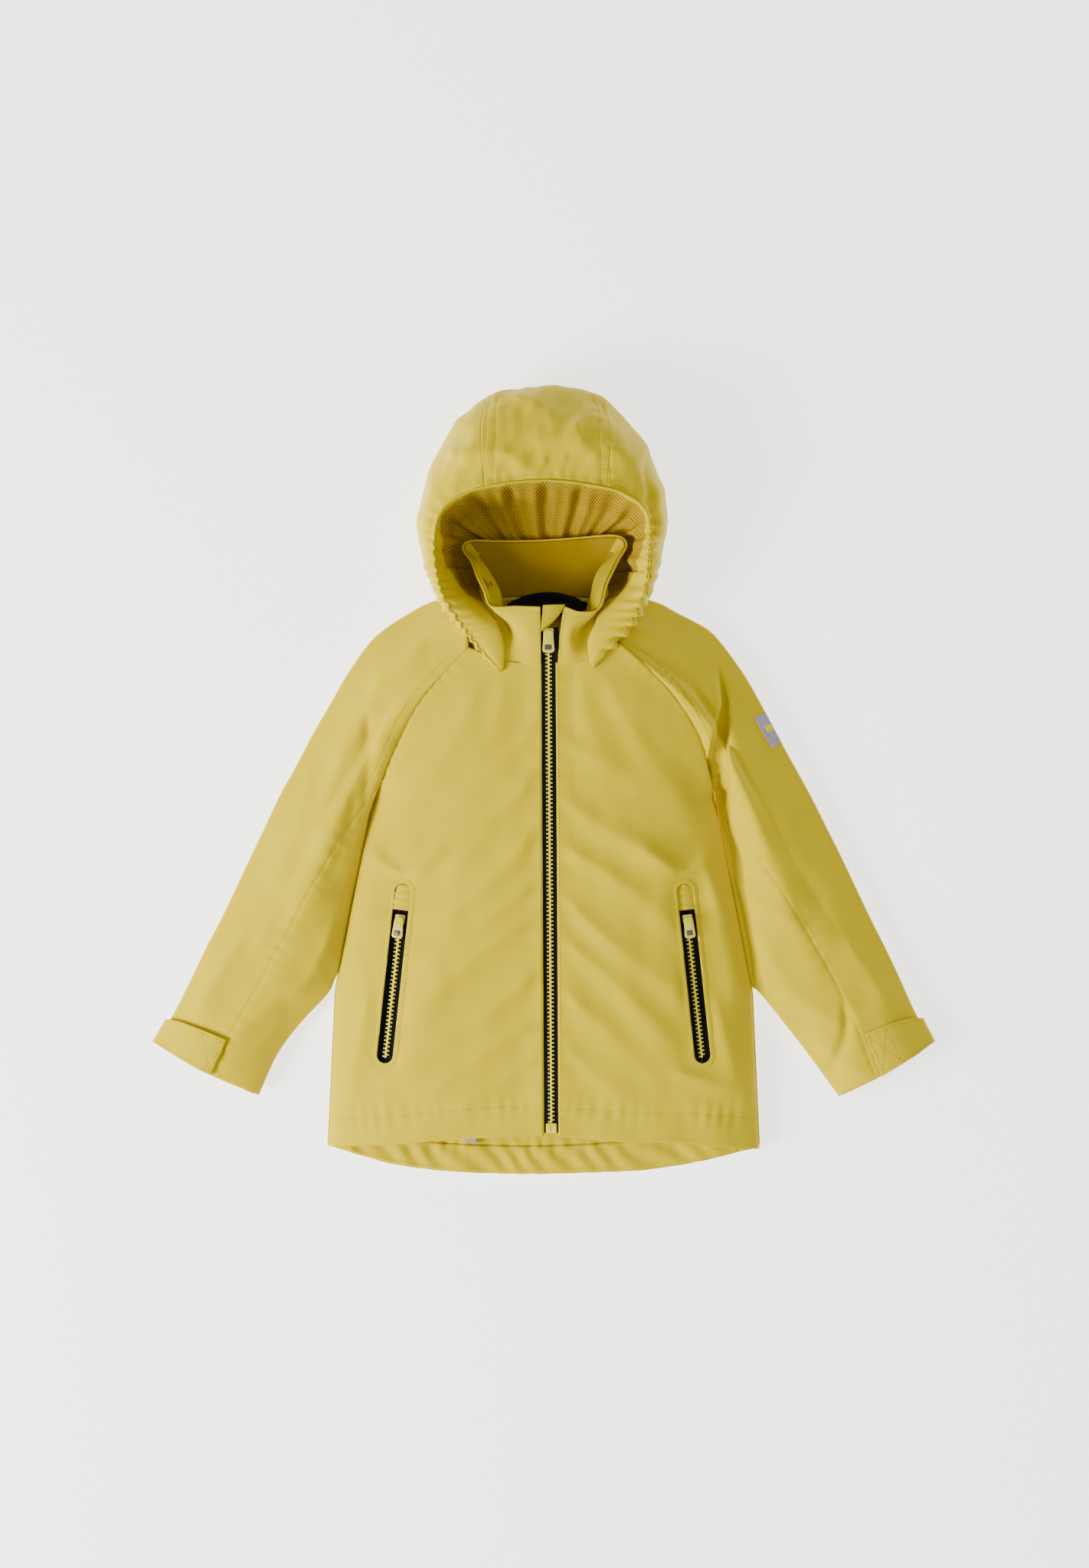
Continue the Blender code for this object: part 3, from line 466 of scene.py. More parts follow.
POCKET_TOP = {-1: (-0.1280, -0.0910), 1: (0.1280, -0.0910)}
POCKET_FOOT = {-1: (-0.1458, -0.2550), 1: (0.1458, -0.2550)}
SLOT_HALF = 0.0073

# folds as start, end, width, height and bow; they run from the zip down to the pockets and hem
FRONT_FOLDS = {
    -1: [((-0.006, 0.055), (-0.080, -0.020), 0.012, 0.0016, 0.004),
         ((-0.004, 0.010), (-0.085, -0.085), 0.013, 0.0026, -0.004),
         ((-0.004, -0.040), (-0.100, -0.130), 0.012, 0.0030, 0.005),
         ((-0.004, -0.085), (-0.120, -0.170), 0.011, 0.0024, 0.004),
         ((-0.006, -0.120), (-0.125, -0.215), 0.013, 0.0032, -0.005),
         ((-0.004, -0.170), (-0.140, -0.262), 0.012, 0.0028, 0.006),
         ((-0.004, -0.215), (-0.110, -0.285), 0.011, 0.0022, -0.003),
         ((-0.008, -0.250), (-0.080, -0.296), 0.009, 0.0016, 0.002),
         ((-0.150, -0.050), (-0.186, -0.170), 0.014, 0.0030, -0.004),
         ((-0.160, -0.190), (-0.185, -0.290), 0.012, 0.0022, 0.003),
         ((-0.060, 0.085), (-0.130, -0.030), 0.016, 0.0022, 0.006),
         ((-0.035, 0.095), (-0.060, 0.010), 0.013, 0.0016, 0.003),
         ((-0.128, -0.084), (-0.176, -0.052), 0.007, 0.0020, 0.001),
         ((-0.128, -0.084), (-0.092, -0.058), 0.007, 0.0016, -0.001),
         ((-0.122, -0.088), (-0.060, -0.030), 0.009, 0.0014, 0.003)],
    1: [((0.016, 0.040), (0.100, -0.010), 0.013, 0.0018, 0.003),
        ((0.014, -0.010), (0.118, -0.074), 0.013, 0.0026, -0.004),
        ((0.014, -0.055), (0.126, -0.135), 0.012, 0.0030, 0.005),
        ((0.014, -0.098), (0.132, -0.195), 0.012, 0.0030, -0.005),
        ((0.016, -0.140), (0.120, -0.240), 0.012, 0.0026, 0.004),
        ((0.018, -0.190), (0.105, -0.275), 0.012, 0.0022, 0.004),
        ((0.018, -0.235), (0.075, -0.288), 0.010, 0.0016, -0.002),
        ((0.150, -0.080), (0.185, -0.200), 0.013, 0.0030, 0.004),
        ((0.158, -0.200), (0.188, -0.292), 0.012, 0.0026, -0.003),
        ((0.060, 0.090), (0.135, -0.020), 0.016, 0.0022, -0.006),
        ((0.034, 0.095), (0.058, 0.015), 0.013, 0.0016, -0.003),
        ((0.130, -0.082), (0.171, -0.050), 0.007, 0.0020, -0.001),
        ((0.130, -0.082), (0.088, -0.058), 0.007, 0.0016, 0.001),
        ((0.124, -0.088), (0.060, -0.040), 0.009, 0.0014, -0.003),
        ((0.120, -0.262), (0.172, -0.282), 0.009, 0.0022, 0.002)],
}


def stadium(top, foot, radius, count=14):
    """Closed outline of a slot in plan, round at both ends."""
    a, b = np.array(top, float), np.array(foot, float)
    run = (b - a) / np.linalg.norm(b - a)
    a, b = a + run * SLOT_HALF, b - run * SLOT_HALF
    side = np.array([-run[1], run[0]])
    out = []
    for centre, sign in ((a, -1), (b, 1)):
        for turn in np.linspace(-90, 90, count):
            out.append(centre + sign * radius * (run * math.cos(math.radians(turn))
                                                 + side * math.sin(math.radians(turn))))
    return np.array(out)


def slot_gap(xy, side, beyond=0.0):
    """Distance from the pocket slot's outline, negative inside it."""
    a, b = np.array(POCKET_TOP[side]), np.array(POCKET_FOOT[side])
    run = (b - a) / np.linalg.norm(b - a)
    line = np.array([a + run * SLOT_HALF, b - run * SLOT_HALF])
    return to_line(xy, line)[0].reshape(xy.shape[:-1]) - SLOT_HALF - beyond


def front_height(xy, side):
    """Height of a front's outer face under points in plan, with its folds."""
    y = xy[..., 1]
    z = body_top(xy)
    reach = np.abs(xy[..., 0] - zip_x(y)) - 0.0066
    folds = 1.3 * sum(crease(xy, a, b, w, h, bow) for a, b, w, h, bow in FRONT_FOLDS[side])
    folds = folds + drift(xy, 48 * -side, 0.060, 0.0007, 20 + side) + drift(xy, 90, 0.030, 0.00018, 33 + side)
    beside_zip = 0.00055 * np.sin(y * 2 * math.pi / 0.021
                                  + 1.4 * np.sin(y * 53)) * np.exp(-(reach / 0.012) ** 2)
    edge = np.clip((body_width(y) - np.abs(xy[..., 0])) / 0.020, 0.15, 1)
    at_zip = np.clip(reach / 0.016, 0, 1)
    slot = slot_gap(xy, side)
    calm = 1 - 0.9 * np.exp(-(np.clip(slot, 0, 1) / 0.009) ** 2)
    z = z + folds * np.sqrt(edge) * at_zip * calm + beside_zip * 0.6
    z += seam_relief(xy, curve_through(RAGLAN[side], 60), seed=3 + side)
    z += seam_relief(xy, curve_through(HEM_STITCH[side], 50), groove=0.0006, pucker=0.0005, reach=0.010,
                     pitch=0.0125, seed=5 + side)
    hem_line = curve_through([(zip_x(HEM_Y) + side * 0.0066, -0.3207), *FRONT_HEM[side]], 40)
    z += 0.0006 * np.exp(-(to_line(xy, hem_line)[0].reshape(y.shape) / 0.004) ** 2)
    z += 0.0016 * (1 - at_zip) + 0.0005 * np.exp(-((slot - 0.002) / 0.0018) ** 2)
    z -= 0.0005 * np.exp(-((slot - 0.0042) / 0.0009) ** 2)
    dimple = np.array(POCKET_TOP[side]) + np.array([-side * -0.013, -0.020])
    far = np.linalg.norm(xy - dimple, axis=-1)
    return z - 0.0022 * np.exp(-(far / 0.011) ** 2)


fronts = {}
for side in (-1, 1):
    name = SIDE_NAMES[side]
    inner_x = zip_x(-0.3207) + side * 0.0066
    bottom = curve_through([(inner_x, -0.3207), *FRONT_HEM[side]], 97)
    top_x = zip_x(0.111) + side * 0.0066
    top = curve_through([(top_x, 0.1100), (side * 0.035, 0.1120), RAGLAN[side][-1]], 97)
    spread = 1 - (1 - np.linspace(0, 1, 97)) ** 1.35
    bottom = np.stack([np.interp(spread, np.linspace(0, 1, 97), bottom[:, k]) for k in (0, 1)], 1)
    top = np.stack([np.interp(spread, np.linspace(0, 1, 97), top[:, k]) for k in (0, 1)], 1)
    ys = np.linspace(-0.3207, 0.1100, 211)
    left = np.stack([zip_x(ys) + side * 0.0066, ys], 1)
    left[0], left[-1] = bottom[0], top[0]
    fold_y = np.linspace(bottom[-1][1], ARMPIT_Y, 40)[:-1]
    outer = np.vstack([np.stack([side * body_width(fold_y), fold_y], 1), curve_through(RAGLAN[side], 60)])
    outer[0] = bottom[-1]
    right = evenly(outer, 211)
    plan = patch(bottom, top, left, right)
    points = np.dstack([plan, front_height(plan, side)])
    front = as_mesh(f"front_cloth_{name}", points, YELLOW)
    cloth(front, CLOTH)
    fronts[side] = front

    hole = bpy.data.meshes.new("slot_cutter")
    ring = stadium(POCKET_TOP[side], POCKET_FOOT[side], SLOT_HALF)
    count = len(ring)
    hole.from_pydata([(*p, z) for z in (0.0, 0.09) for p in ring], [],
                     [tuple(range(count))[::-1], tuple(range(count, 2 * count))]
                     + [(k, (k + 1) % count, count + (k + 1) % count, count + k) for k in range(count)])
    cutter = bpy.data.objects.new("slot_cutter", hole)
    bpy.context.scene.collection.objects.link(cutter)
    bm = bmesh.new()
    bm.from_mesh(hole)
    bmesh.ops.recalc_face_normals(bm, faces=bm.faces)
    bm.to_mesh(hole)
    bm.free()
    cut = front.modifiers.new("slot", "BOOLEAN")
    cut.operation = "DIFFERENCE"
    cut.solver = "EXACT"
    cut.object = cutter
    finish_modifiers(front)
    bpy.data.objects.remove(cutter)
    bpy.data.meshes.remove(hole)

    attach(front, "torso")
    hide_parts(f"front_panel_{name}")

    edge_y = np.linspace(-0.3190, 0.1085, 60)
    rows = [np.stack([zip_x(edge_y) + side * 0.0086, edge_y], 1),
            curve_through(HEM_STITCH[side], 60)[1:-1],
            np.vstack([stadium(POCKET_TOP[side], POCKET_FOOT[side], SLOT_HALF + 0.0042),
                       stadium(POCKET_TOP[side], POCKET_FOOT[side], SLOT_HALF + 0.0042)[:1]])]
    sewn = stitches(f"front_stitches_{name}", front, rows)
    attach(sewn, "torso")

# ======================================================================= back panel and hem facing
# One coated cloth back that lies on the table, curls up at the side folds to meet the fronts and
# drops into a rounded tail. Its hem is turned up inside and stitched, which puckers the tail.
TAIL = [(-0.1975, -0.3325), (-0.1834, -0.3375), (-0.1435, -0.3490), (-0.1078, -0.3547), (-0.0714, -0.3577),
        (-0.0300, -0.3590), (0.0100, -0.3590), (0.0476, -0.3577), (0.0875, -0.3560), (0.1197, -0.3520),
        (0.1520, -0.3458), (0.1757, -0.3400), (0.1970, -0.3350)]
BACK_NECK = [(-0.0640, 0.1700), (-0.0350, 0.1745), (0.0, 0.1755), (0.0350, 0.1745), (0.0640, 0.1700)]
FACING_TOP = [(-0.1900, -0.3140), (-0.1200, -0.3280), (-0.0570, -0.3325), (0.0070, -0.3330), (0.0750, -0.3290),
              (0.1300, -0.3210), (0.1900, -0.3140)]
CURL = 0.0125


def back_height(xy):
    """Upper face of the back panel: near the table, puckered along the turned hem."""
    tail_gap, along = to_line(xy, curve_through(TAIL, 90))
    tail_gap, along = tail_gap.reshape(xy.shape[:-1]), along.reshape(xy.shape[:-1])
    slanted = np.sin(2 * math.pi * (along + 0.9 * tail_gap) / 0.024 + 1.7 * np.sin(along * 31)
                     + 1.2 * np.sin(along * 73))
    pucker = 0.0011 * slanted * np.exp(-((tail_gap - 0.014) / 0.014) ** 2)
    z = 0.0042 + pucker + drift(xy, 80, 0.050, 0.0005, 71) + 0.0012 * np.exp(-(tail_gap / 0.0030) ** 2)
    hem_seam = curve_through(FACING_TOP, 80)
    return z + seam_relief(xy, hem_seam, groove=0.0006, pucker=0.0007, reach=0.009, pitch=0.013, seed=9)


half = 110
bottom = curve_through(TAIL, 2 * half + 1)
side_y = np.linspace(-0.3325, ARMPIT_Y, 60)[:-1]
back_raglan = curve_through([(-0.157, ARMPIT_Y), (-0.140, 0.030), (-0.112, 0.090), (-0.064, 0.170)], 50)
left = evenly(np.vstack([np.stack([-body_width(side_y), side_y], 1), back_raglan]), 190)
right = mirror_x(left)
left[0], right[0] = bottom[0], bottom[-1]
top = curve_through(BACK_NECK, 2 * half + 1)
left[-1], right[-1] = top[0], top[-1]
plan = patch(bottom, top, left, right)
edge_in = np.clip((np.abs(plan[..., 0]) - (body_width(plan[..., 1]) - CURL)) / CURL, 0, 1)
lift = (SIDE_FOLD - 0.0052) * (1 - np.sqrt(1 - edge_in ** 2))
points = np.dstack([plan, back_height(plan) * (1 - edge_in) + (0.0042 + lift) * edge_in])
back = as_mesh("back_cloth", points, YELLOW)
cloth(back, CLOTH)
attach(back, "torso")
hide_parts("back_panel")

facing_top = curve_through(FACING_TOP, 161)
facing_bottom = shifted(curve_through(TAIL, 181)[9:-9], 0.0012)
facing_bottom = evenly(facing_bottom, 161)
rise = np.linspace(0, 1, 15)[:, None, None]
plan = facing_bottom[None] * (1 - rise) + facing_top[None] * rise
points = np.dstack([plan, back_height(plan) + 0.0011])
facing = as_mesh("hem_facing_cloth", points, YELLOW)
cloth(facing, 0.0009)
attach(facing, "torso")
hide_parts("back_hem_facing")
sewn = stitches("hem_facing_stitches", facing, [shifted(facing_top, -0.0016)])
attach(sewn, "torso")

# ======================================================================= raglan sleeves
# Each sleeve is one closed tube of coated cloth from the slanting raglan seam to the cuff. It
# lies flat with air inside and folds near the elbow.
SLEEVE_OUT = {
    -1: [(-0.0760, 0.1740), (-0.1050, 0.1665), (-0.1240, 0.1568), (-0.1456, 0.1428), (-0.1610, 0.1288),
         (-0.1806, 0.1008), (-0.1967, 0.0728),
         (-0.2128, 0.0448), (-0.2275, 0.0168), (-0.2430, -0.0112), (-0.2562, -0.0392), (-0.2695, -0.0672),
         (-0.2828, -0.0952), (-0.2961, -0.1232), (-0.3108, -0.1512), (-0.3241, -0.1792), (-0.3381, -0.2072),
         (-0.3560, -0.2385)],
    1: [(0.0760, 0.1740), (0.1050, 0.1665), (0.1239, 0.1568), (0.1498, 0.1428), (0.1638, 0.1288),
        (0.1841, 0.1008), (0.2002, 0.0728),
        (0.2149, 0.0448), (0.2303, 0.0168), (0.2457, -0.0112), (0.2597, -0.0392), (0.2737, -0.0672),
        (0.2870, -0.0952), (0.3003, -0.1232), (0.3143, -0.1512), (0.3276, -0.1792), (0.3402, -0.2072),
        (0.3560, -0.2380)],
}
SLEEVE_IN = {
    -1: [(-0.1570, -0.0120), (-0.1655, -0.0600), (-0.1760, -0.1100), (-0.1838, -0.1500), (-0.1880, -0.1700),
         (-0.1922, -0.1800),
         (-0.1988, -0.1932), (-0.2247, -0.2212), (-0.2450, -0.2492), (-0.2618, -0.2860)],
    1: [(0.1570, -0.0120), (0.1655, -0.0600), (0.1760, -0.1100), (0.1836, -0.1500), (0.1872, -0.1700),
        (0.1905, -0.1835), (0.2002, -0.1940), (0.2219, -0.2212), (0.2436, -0.2492), (0.2709, -0.2870)],
}
SLEEVE_SEAM = {
    -1: [(-0.1630, -0.0180), (-0.1862, -0.0511), (-0.2009, -0.0763), (-0.2149, -0.0994), (-0.2324, -0.1337),
         (-0.2450, -0.1547), (-0.2576, -0.1792), (-0.2695, -0.2002), (-0.2877, -0.2317), (-0.3031, -0.2695)],
    1: [(0.1561, -0.0210), (0.1743, -0.0406), (0.1918, -0.0637), (0.2184, -0.0994), (0.2401, -0.1351),
        (0.2541, -0.1582), (0.2660, -0.1792), (0.2772, -0.2037), (0.2870, -0.2240), (0.3020, -0.2640)],
}
SLEEVE_FOLDS = {
    -1: [((-0.150, 0.100), (-0.185, 0.020), 0.012, 0.0026, 0.003),
         ((-0.160, 0.060), (-0.164, -0.020), 0.008, -0.0034, 0.002),
         ((-0.182, 0.030), (-0.205, -0.060), 0.013, 0.0026, -0.004),
         ((-0.172, -0.010), (-0.196, -0.090), 0.009, -0.0024, 0.003),
         ((-0.215, 0.010), (-0.245, -0.090), 0.014, 0.0022, 0.004),
         ((-0.196, -0.100), (-0.262, -0.150), 0.012, 0.0022, -0.003),
         ((-0.190, -0.130), (-0.226, -0.200), 0.010, 0.0026, 0.002),
         ((-0.232, -0.110), (-0.290, -0.205), 0.012, -0.0020, 0.003),
         ((-0.275, -0.140), (-0.318, -0.215), 0.011, 0.0022, -0.002),
         ((-0.215, -0.185), (-0.285, -0.232), 0.010, 0.0018, -0.003),
         ((-0.112, 0.128), (-0.150, 0.085), 0.011, 0.0018, 0.003),
         ((-0.240, -0.225), (-0.290, -0.262), 0.010, 0.0020, 0.002)],
    1: [((0.150, 0.100), (0.190, 0.010), 0.012, 0.0026, -0.003),
        ((0.166, 0.062), (0.163, -0.030), 0.007, -0.0046, -0.002),
        ((0.184, 0.030), (0.205, -0.060), 0.013, 0.0028, 0.004),
        ((0.160, 0.000), (0.182, -0.066), 0.008, -0.0040, -0.001),
        ((0.168, -0.070), (0.184, -0.090), 0.008, -0.0030, 0.001),
        ((0.215, 0.010), (0.245, -0.090), 0.014, 0.0022, -0.004),
        ((0.198, -0.110), (0.262, -0.150), 0.012, 0.0022, 0.003),
        ((0.192, -0.130), (0.230, -0.205), 0.010, 0.0026, -0.002),
        ((0.232, -0.110), (0.290, -0.205), 0.012, -0.0020, -0.003),
        ((0.275, -0.140), (0.318, -0.215), 0.011, 0.0022, 0.002),
        ((0.215, -0.190), (0.285, -0.232), 0.010, 0.0018, 0.003),
        ((0.240, -0.228), (0.292, -0.264), 0.010, 0.0020, -0.002),
        ((0.275, -0.204), (0.262, -0.262), 0.006, -0.0034, 0.007)],
}
# on the wearer's left the sleeve folds over itself beside the body and leaves a deep shaded wedge
WEDGE_Y = [-0.196, -0.165, -0.134, -0.110, -0.090, -0.078, -0.066, -0.036, 0.022, 0.074, 0.116]
WEDGE_OUT = [0.2060, 0.1975, 0.1915, 0.1880, 0.1840, 0.1835, 0.1810, 0.1715, 0.1690, 0.1695, 0.1600]
WEDGE_IN = [0.0, 0.0, 0.0, 0.0, 0.0, 0.0, 0.0, 0.0, 0.1510, 0.1630, 0.1600]
WEDGE_DEPTH = [0.0, 0.005, 0.006, 0.006, 0.004, 0.007, 0.010, 0.011, 0.011, 0.009, 0.0]
SHOULDER_PIVOT = {-1: (-0.158, 0.037), 1: (0.158, 0.037)}
ARM_LEAN = math.radians(27.2)
SLEEVE_ROWS, SLEEVE_COLS = 151, 81


def arm_point(side, along):
    """Point on the middle line of an arm, a distance from the shoulder."""
    x, y = SHOULDER_PIVOT[side]
    return x + side * along * math.sin(ARM_LEAN), y - along * math.cos(ARM_LEAN)


def bend_at_shoulder(piece):
    """Bakes a piece's placement into its mesh."""
    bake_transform(piece)


def sleeve_shell(side):
    """Front and back faces of a sleeve as one ring per row, from the raglan seam to the cuff."""
    out = curve_through(SLEEVE_OUT[side], SLEEVE_ROWS)
    inner = curve_through(SLEEVE_IN[side], SLEEVE_ROWS)
    raglan = curve_through(RAGLAN[side], 70)[::-1]
    neck = curve_through([SLEEVE_OUT[side][0], (side * 0.0710, 0.1420), RAGLAN[side][-1]], 12)
    seam = evenly(np.vstack([neck[:-1], raglan]), SLEEVE_COLS)
    cuff = curve_through([SLEEVE_OUT[side][-1], tuple((np.array(SLEEVE_OUT[side][-1]) + SLEEVE_IN[side][-1]) / 2
                          + np.array([side * -0.0012, -0.0022])), SLEEVE_IN[side][-1]], SLEEVE_COLS)
    turn = (1 - np.cos(np.linspace(0, math.pi, SLEEVE_COLS))) / 2
    even = np.linspace(0, 1, SLEEVE_COLS)
    ease = 0.35 * even + 0.65 * turn
    seam, cuff = (np.stack([np.interp(ease, even, c[:, k]) for k in (0, 1)], 1) for c in (seam, cuff))
    plan = patch(seam, cuff, out, inner)

    across = ease[None, :]
    down = np.linspace(0, 1, SLEEVE_ROWS)[:, None]
    seam_z = body_top(seam)
    near_neck = np.clip(1 - across[0] / 0.12, 0, 1)
    seam_z = seam_z * (1 - near_neck) + 0.030 * near_neck
    full = between(0.044, 0.031, down)
    round_z = 0.013 + (full - 0.013) * np.sin(math.pi * across) ** 0.75
    share = np.clip(down / 0.30, 0, 1)
    share = share * share * (3 - 2 * share)
    edge_z = 0.013 + 0.017 * np.clip(1 - down / 0.10, 0, 1) ** 2
    rim = np.sin(math.pi * np.clip(across, 0, 1)) ** 0.55
    start_z = edge_z + (np.maximum(seam_z[None, :], edge_z) - edge_z) * np.where(across < 0.5, rim, 1.0)
    z = start_z * (1 - share) + round_z * share
    folds = 1.3 * sum(crease(plan, a, b, w, h, bow) for a, b, w, h, bow in SLEEVE_FOLDS[side])
    folds = folds + drift(plan, 62 * -side, 0.055, 0.0009, 51 + side) + drift(plan, 20, 0.026, 0.00022,
                                                                              63 + side)
    hold = np.clip(np.minimum(across, 1 - across) / 0.16, 0.0, 1) ** 0.7 * np.clip(down / 0.05, 0, 1)
    z = z + folds * hold
    z += seam_relief(plan, raglan, seed=3 + side) + seam_relief(plan, shifted(raglan, side * 0.0087),
            groove=0.0004, pucker=0.0006, reach=0.006, pitch=0.010, seed=6)
    z += seam_relief(plan, curve_through(SLEEVE_SEAM[side], 60), groove=0.0009, pucker=0.0006, reach=0.008,
                     pitch=0.014, seed=11 + side)
    if side > 0:
        px, py = plan[..., 0], plan[..., 1]
        outer_edge, inner_edge, depth = (np.interp(py, WEDGE_Y, v) for v in (WEDGE_OUT, WEDGE_IN, WEDGE_DEPTH))
        sunk = np.clip((outer_edge - px) / 0.0035 + 0.3, 0, 1) * np.clip((px - inner_edge) / 0.0045 + 0.5, 0, 1)
        z = z - depth * sunk * sunk * (3 - 2 * sunk) * (py > WEDGE_Y[0]) * (py < WEDGE_Y[-1])
        z = np.maximum(z, 0.0085)
    cuff_row = shifted(cuff, side * 0.022)
    z += seam_relief(plan, cuff_row, groove=0.0006, pucker=0.0006, reach=0.009, pitch=0.012, seed=15)
    front = np.dstack([plan, z])

    back_seam = evenly(np.vstack([curve_through([SLEEVE_OUT[side][0], (side * 0.064, 0.170)], 6)[:-1],
                                  back_raglan[::-1] * (-side, 1)]), SLEEVE_COLS)
    back_seam = np.stack([np.interp(ease, even, back_seam[:, k]) for k in (0, 1)], 1)
    under = patch(back_seam, cuff, out, inner)
    low = 0.0028 + (edge_z - 0.0028) * np.abs(2 * across - 1) ** 6
    under = np.dstack([under, low])
    under[:, 0], under[:, -1] = front[:, 0], front[:, -1]
    return front, under, cuff, raglan


sleeves = {}
for side in (-1, 1):
    name = SIDE_NAMES[side]
    front, under, cuff, raglan = sleeve_shell(side)
    ring = np.concatenate([front, under[:, -2:0:-1]], axis=1)
    axis_a, axis_b = np.array([*arm_point(side, 0.0), 0.02]), np.array([*arm_point(side, 0.336), 0.017])
    line = (axis_b - axis_a) / np.linalg.norm(axis_b - axis_a)

    def outward(centres):
        rel = centres - axis_a
        return rel - (rel @ line)[:, None] * line

    sleeve = as_mesh(f"sleeve_cloth_{name}", ring, YELLOW, closed=True, facing=outward)
    cloth(sleeve, CLOTH)
    sleeves[side] = sleeve
    sleeve_rows = [shifted(raglan, side * -0.0016)[2:-6], shifted(raglan, side * 0.0087)[8:-6],
                   shifted(cuff, side * 0.022)[4:-4]]
    sewn = stitches(f"sleeve_stitches_{name}", sleeve, sleeve_rows)
    for piece in (sleeve, sewn):
        bend_at_shoulder(piece)
    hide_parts(f"sleeve_{name}", f"shoulder_{name}")

# ======================================================================= zip materials
# The tapes are ribbed black polyester, the teeth are moulded yellow plastic, and the sliders and
# pullers are die-cast metal painted yellow.


def plain_material(name, dark, light, roughness, metallic=0.0, grain=60.0, bump=0.15, depth=0.0002, coat=0.0):
    """Moulded or painted surface: colour and roughness wander slightly, with a faint skin texture."""
    mat = bpy.data.materials.new(name)
    mat.use_nodes = True
    nodes, links = mat.node_tree.nodes, mat.node_tree.links
    shader = nodes["Principled BSDF"]
    place = nodes.new("ShaderNodeTexCoord")
    noise = nodes.new("ShaderNodeTexNoise")
    noise.inputs["Scale"].default_value = grain
    noise.inputs["Detail"].default_value = 4.0
    links.new(place.outputs["Object"], noise.inputs["Vector"])
    ramp = nodes.new("ShaderNodeValToRGB")
    ramp.color_ramp.elements[0].position = 0.35
    ramp.color_ramp.elements[0].color = (*dark, 1)
    ramp.color_ramp.elements[1].position = 0.65
    ramp.color_ramp.elements[1].color = (*light, 1)
    links.new(noise.outputs["Fac"], ramp.inputs["Fac"])
    links.new(ramp.outputs["Color"], shader.inputs["Base Color"])
    rough = nodes.new("ShaderNodeMapRange")
    rough.inputs["To Min"].default_value = roughness - 0.08
    rough.inputs["To Max"].default_value = roughness + 0.08
    links.new(noise.outputs["Fac"], rough.inputs["Value"])
    links.new(rough.outputs["Result"], shader.inputs["Roughness"])
    relief = nodes.new("ShaderNodeBump")
    relief.inputs["Strength"].default_value = bump
    relief.inputs["Distance"].default_value = depth
    links.new(noise.outputs["Fac"], relief.inputs["Height"])
    links.new(relief.outputs["Normal"], shader.inputs["Normal"])
    shader.inputs["Metallic"].default_value = metallic
    shader.inputs["Coat Weight"].default_value = coat
    shader.inputs["Coat Roughness"].default_value = 0.25
    return mat


TAPE_MAT = cloth_material("ribbed_black_tape", (0.010, 0.010, 0.011), (0.018, 0.018, 0.019), 0.72, 700, 0.8,
                          0.05)
TEETH_MAT = plain_material("moulded_yellow_teeth_mat", (0.72, 0.60, 0.010), (0.80, 0.68, 0.020), 0.38,
                           grain=500)
PAINT_MAT = plain_material("painted_yellow_metal_mat", (0.74, 0.58, 0.010), (0.80, 0.64, 0.020), 0.30, 0.15,
                           grain=300, coat=0.3)
STEEL_MAT = plain_material("dark_plated_metal", (0.10, 0.10, 0.10), (0.16, 0.16, 0.16), 0.35, 0.9, grain=700)

# ======================================================================= front zip
# A chunky moulded zip runs from the hem to the neck. Its two tapes are sewn under the front
# edges, each tape carries one row of interlocking teeth, and a box holds the lower end.
TOOTH_PITCH = 0.0037
ZIP_TEETH_BOTTOM, ZIP_TEETH_TOP = -0.3085, 0.1330
ZIP_FOOT, ZIP_HEAD = -0.3180, 0.1420


def basis(direction, across):
    """Unit vectors across, up the line and out of it."""
    up = np.array(direction, float) / np.linalg.norm(direction)
    u = np.array(across, float)
    u = u - up * (u @ up)
    u /= np.linalg.norm(u)
    return u, up, np.cross(u, up)


def zip_point(y):
    """A point on the front zip's straight line, which runs on past the neck seam."""
    return np.array([float(zip_x(y)), y, ZIP_LOW_Z + (ZIP_NECK_Z - ZIP_LOW_Z) * (y - HEM_Y) / ZIP_FRONT_LENGTH])


ZIP_AXES = basis(zip_point(ZIP_HEAD) - zip_point(ZIP_FOOT), (1, 0, 0))
TOOTH_OUTLINE = [(0.0029, -0.00065), (0.0029, 0.00065), (0.0012, 0.00060), (0.0006, 0.00105),
                 (-0.0004, 0.00110),
                 (-0.0009, 0.00050), (-0.0009, -0.00050), (-0.0004, -0.00110), (0.0006, -0.00105),
                 (0.0012, -0.00060)]


def prism(verts, faces, place, axes, outline, low, high, bevel=0.0003):
    """Adds an upright block with a bevelled top: outline across and along, heights out of the line."""
    u, v, n = axes
    outline = np.array(outline)
    middle = outline.mean(0)
    first, count = len(verts), len(outline)
    shrink = outline + (middle - outline) * np.minimum(1,
            bevel / np.maximum(np.linalg.norm(outline - middle, axis=1), 1e-9))[:, None]
    for ring, height in ((outline, low), (outline, high - bevel), (shrink, high)):
        for a, b in ring:
            verts.append(tuple(place + u * a + v * b + n * height))
    for level in (0, 1):
        for k in range(count):
            j = (k + 1) % count
            base = first + level * count
            faces.append((base + k, base + j, base + count + j, base + count + k))
    faces.append(tuple(first + 2 * count + k for k in range(count)))
    faces.append(tuple(first + k for k in range(count))[::-1])


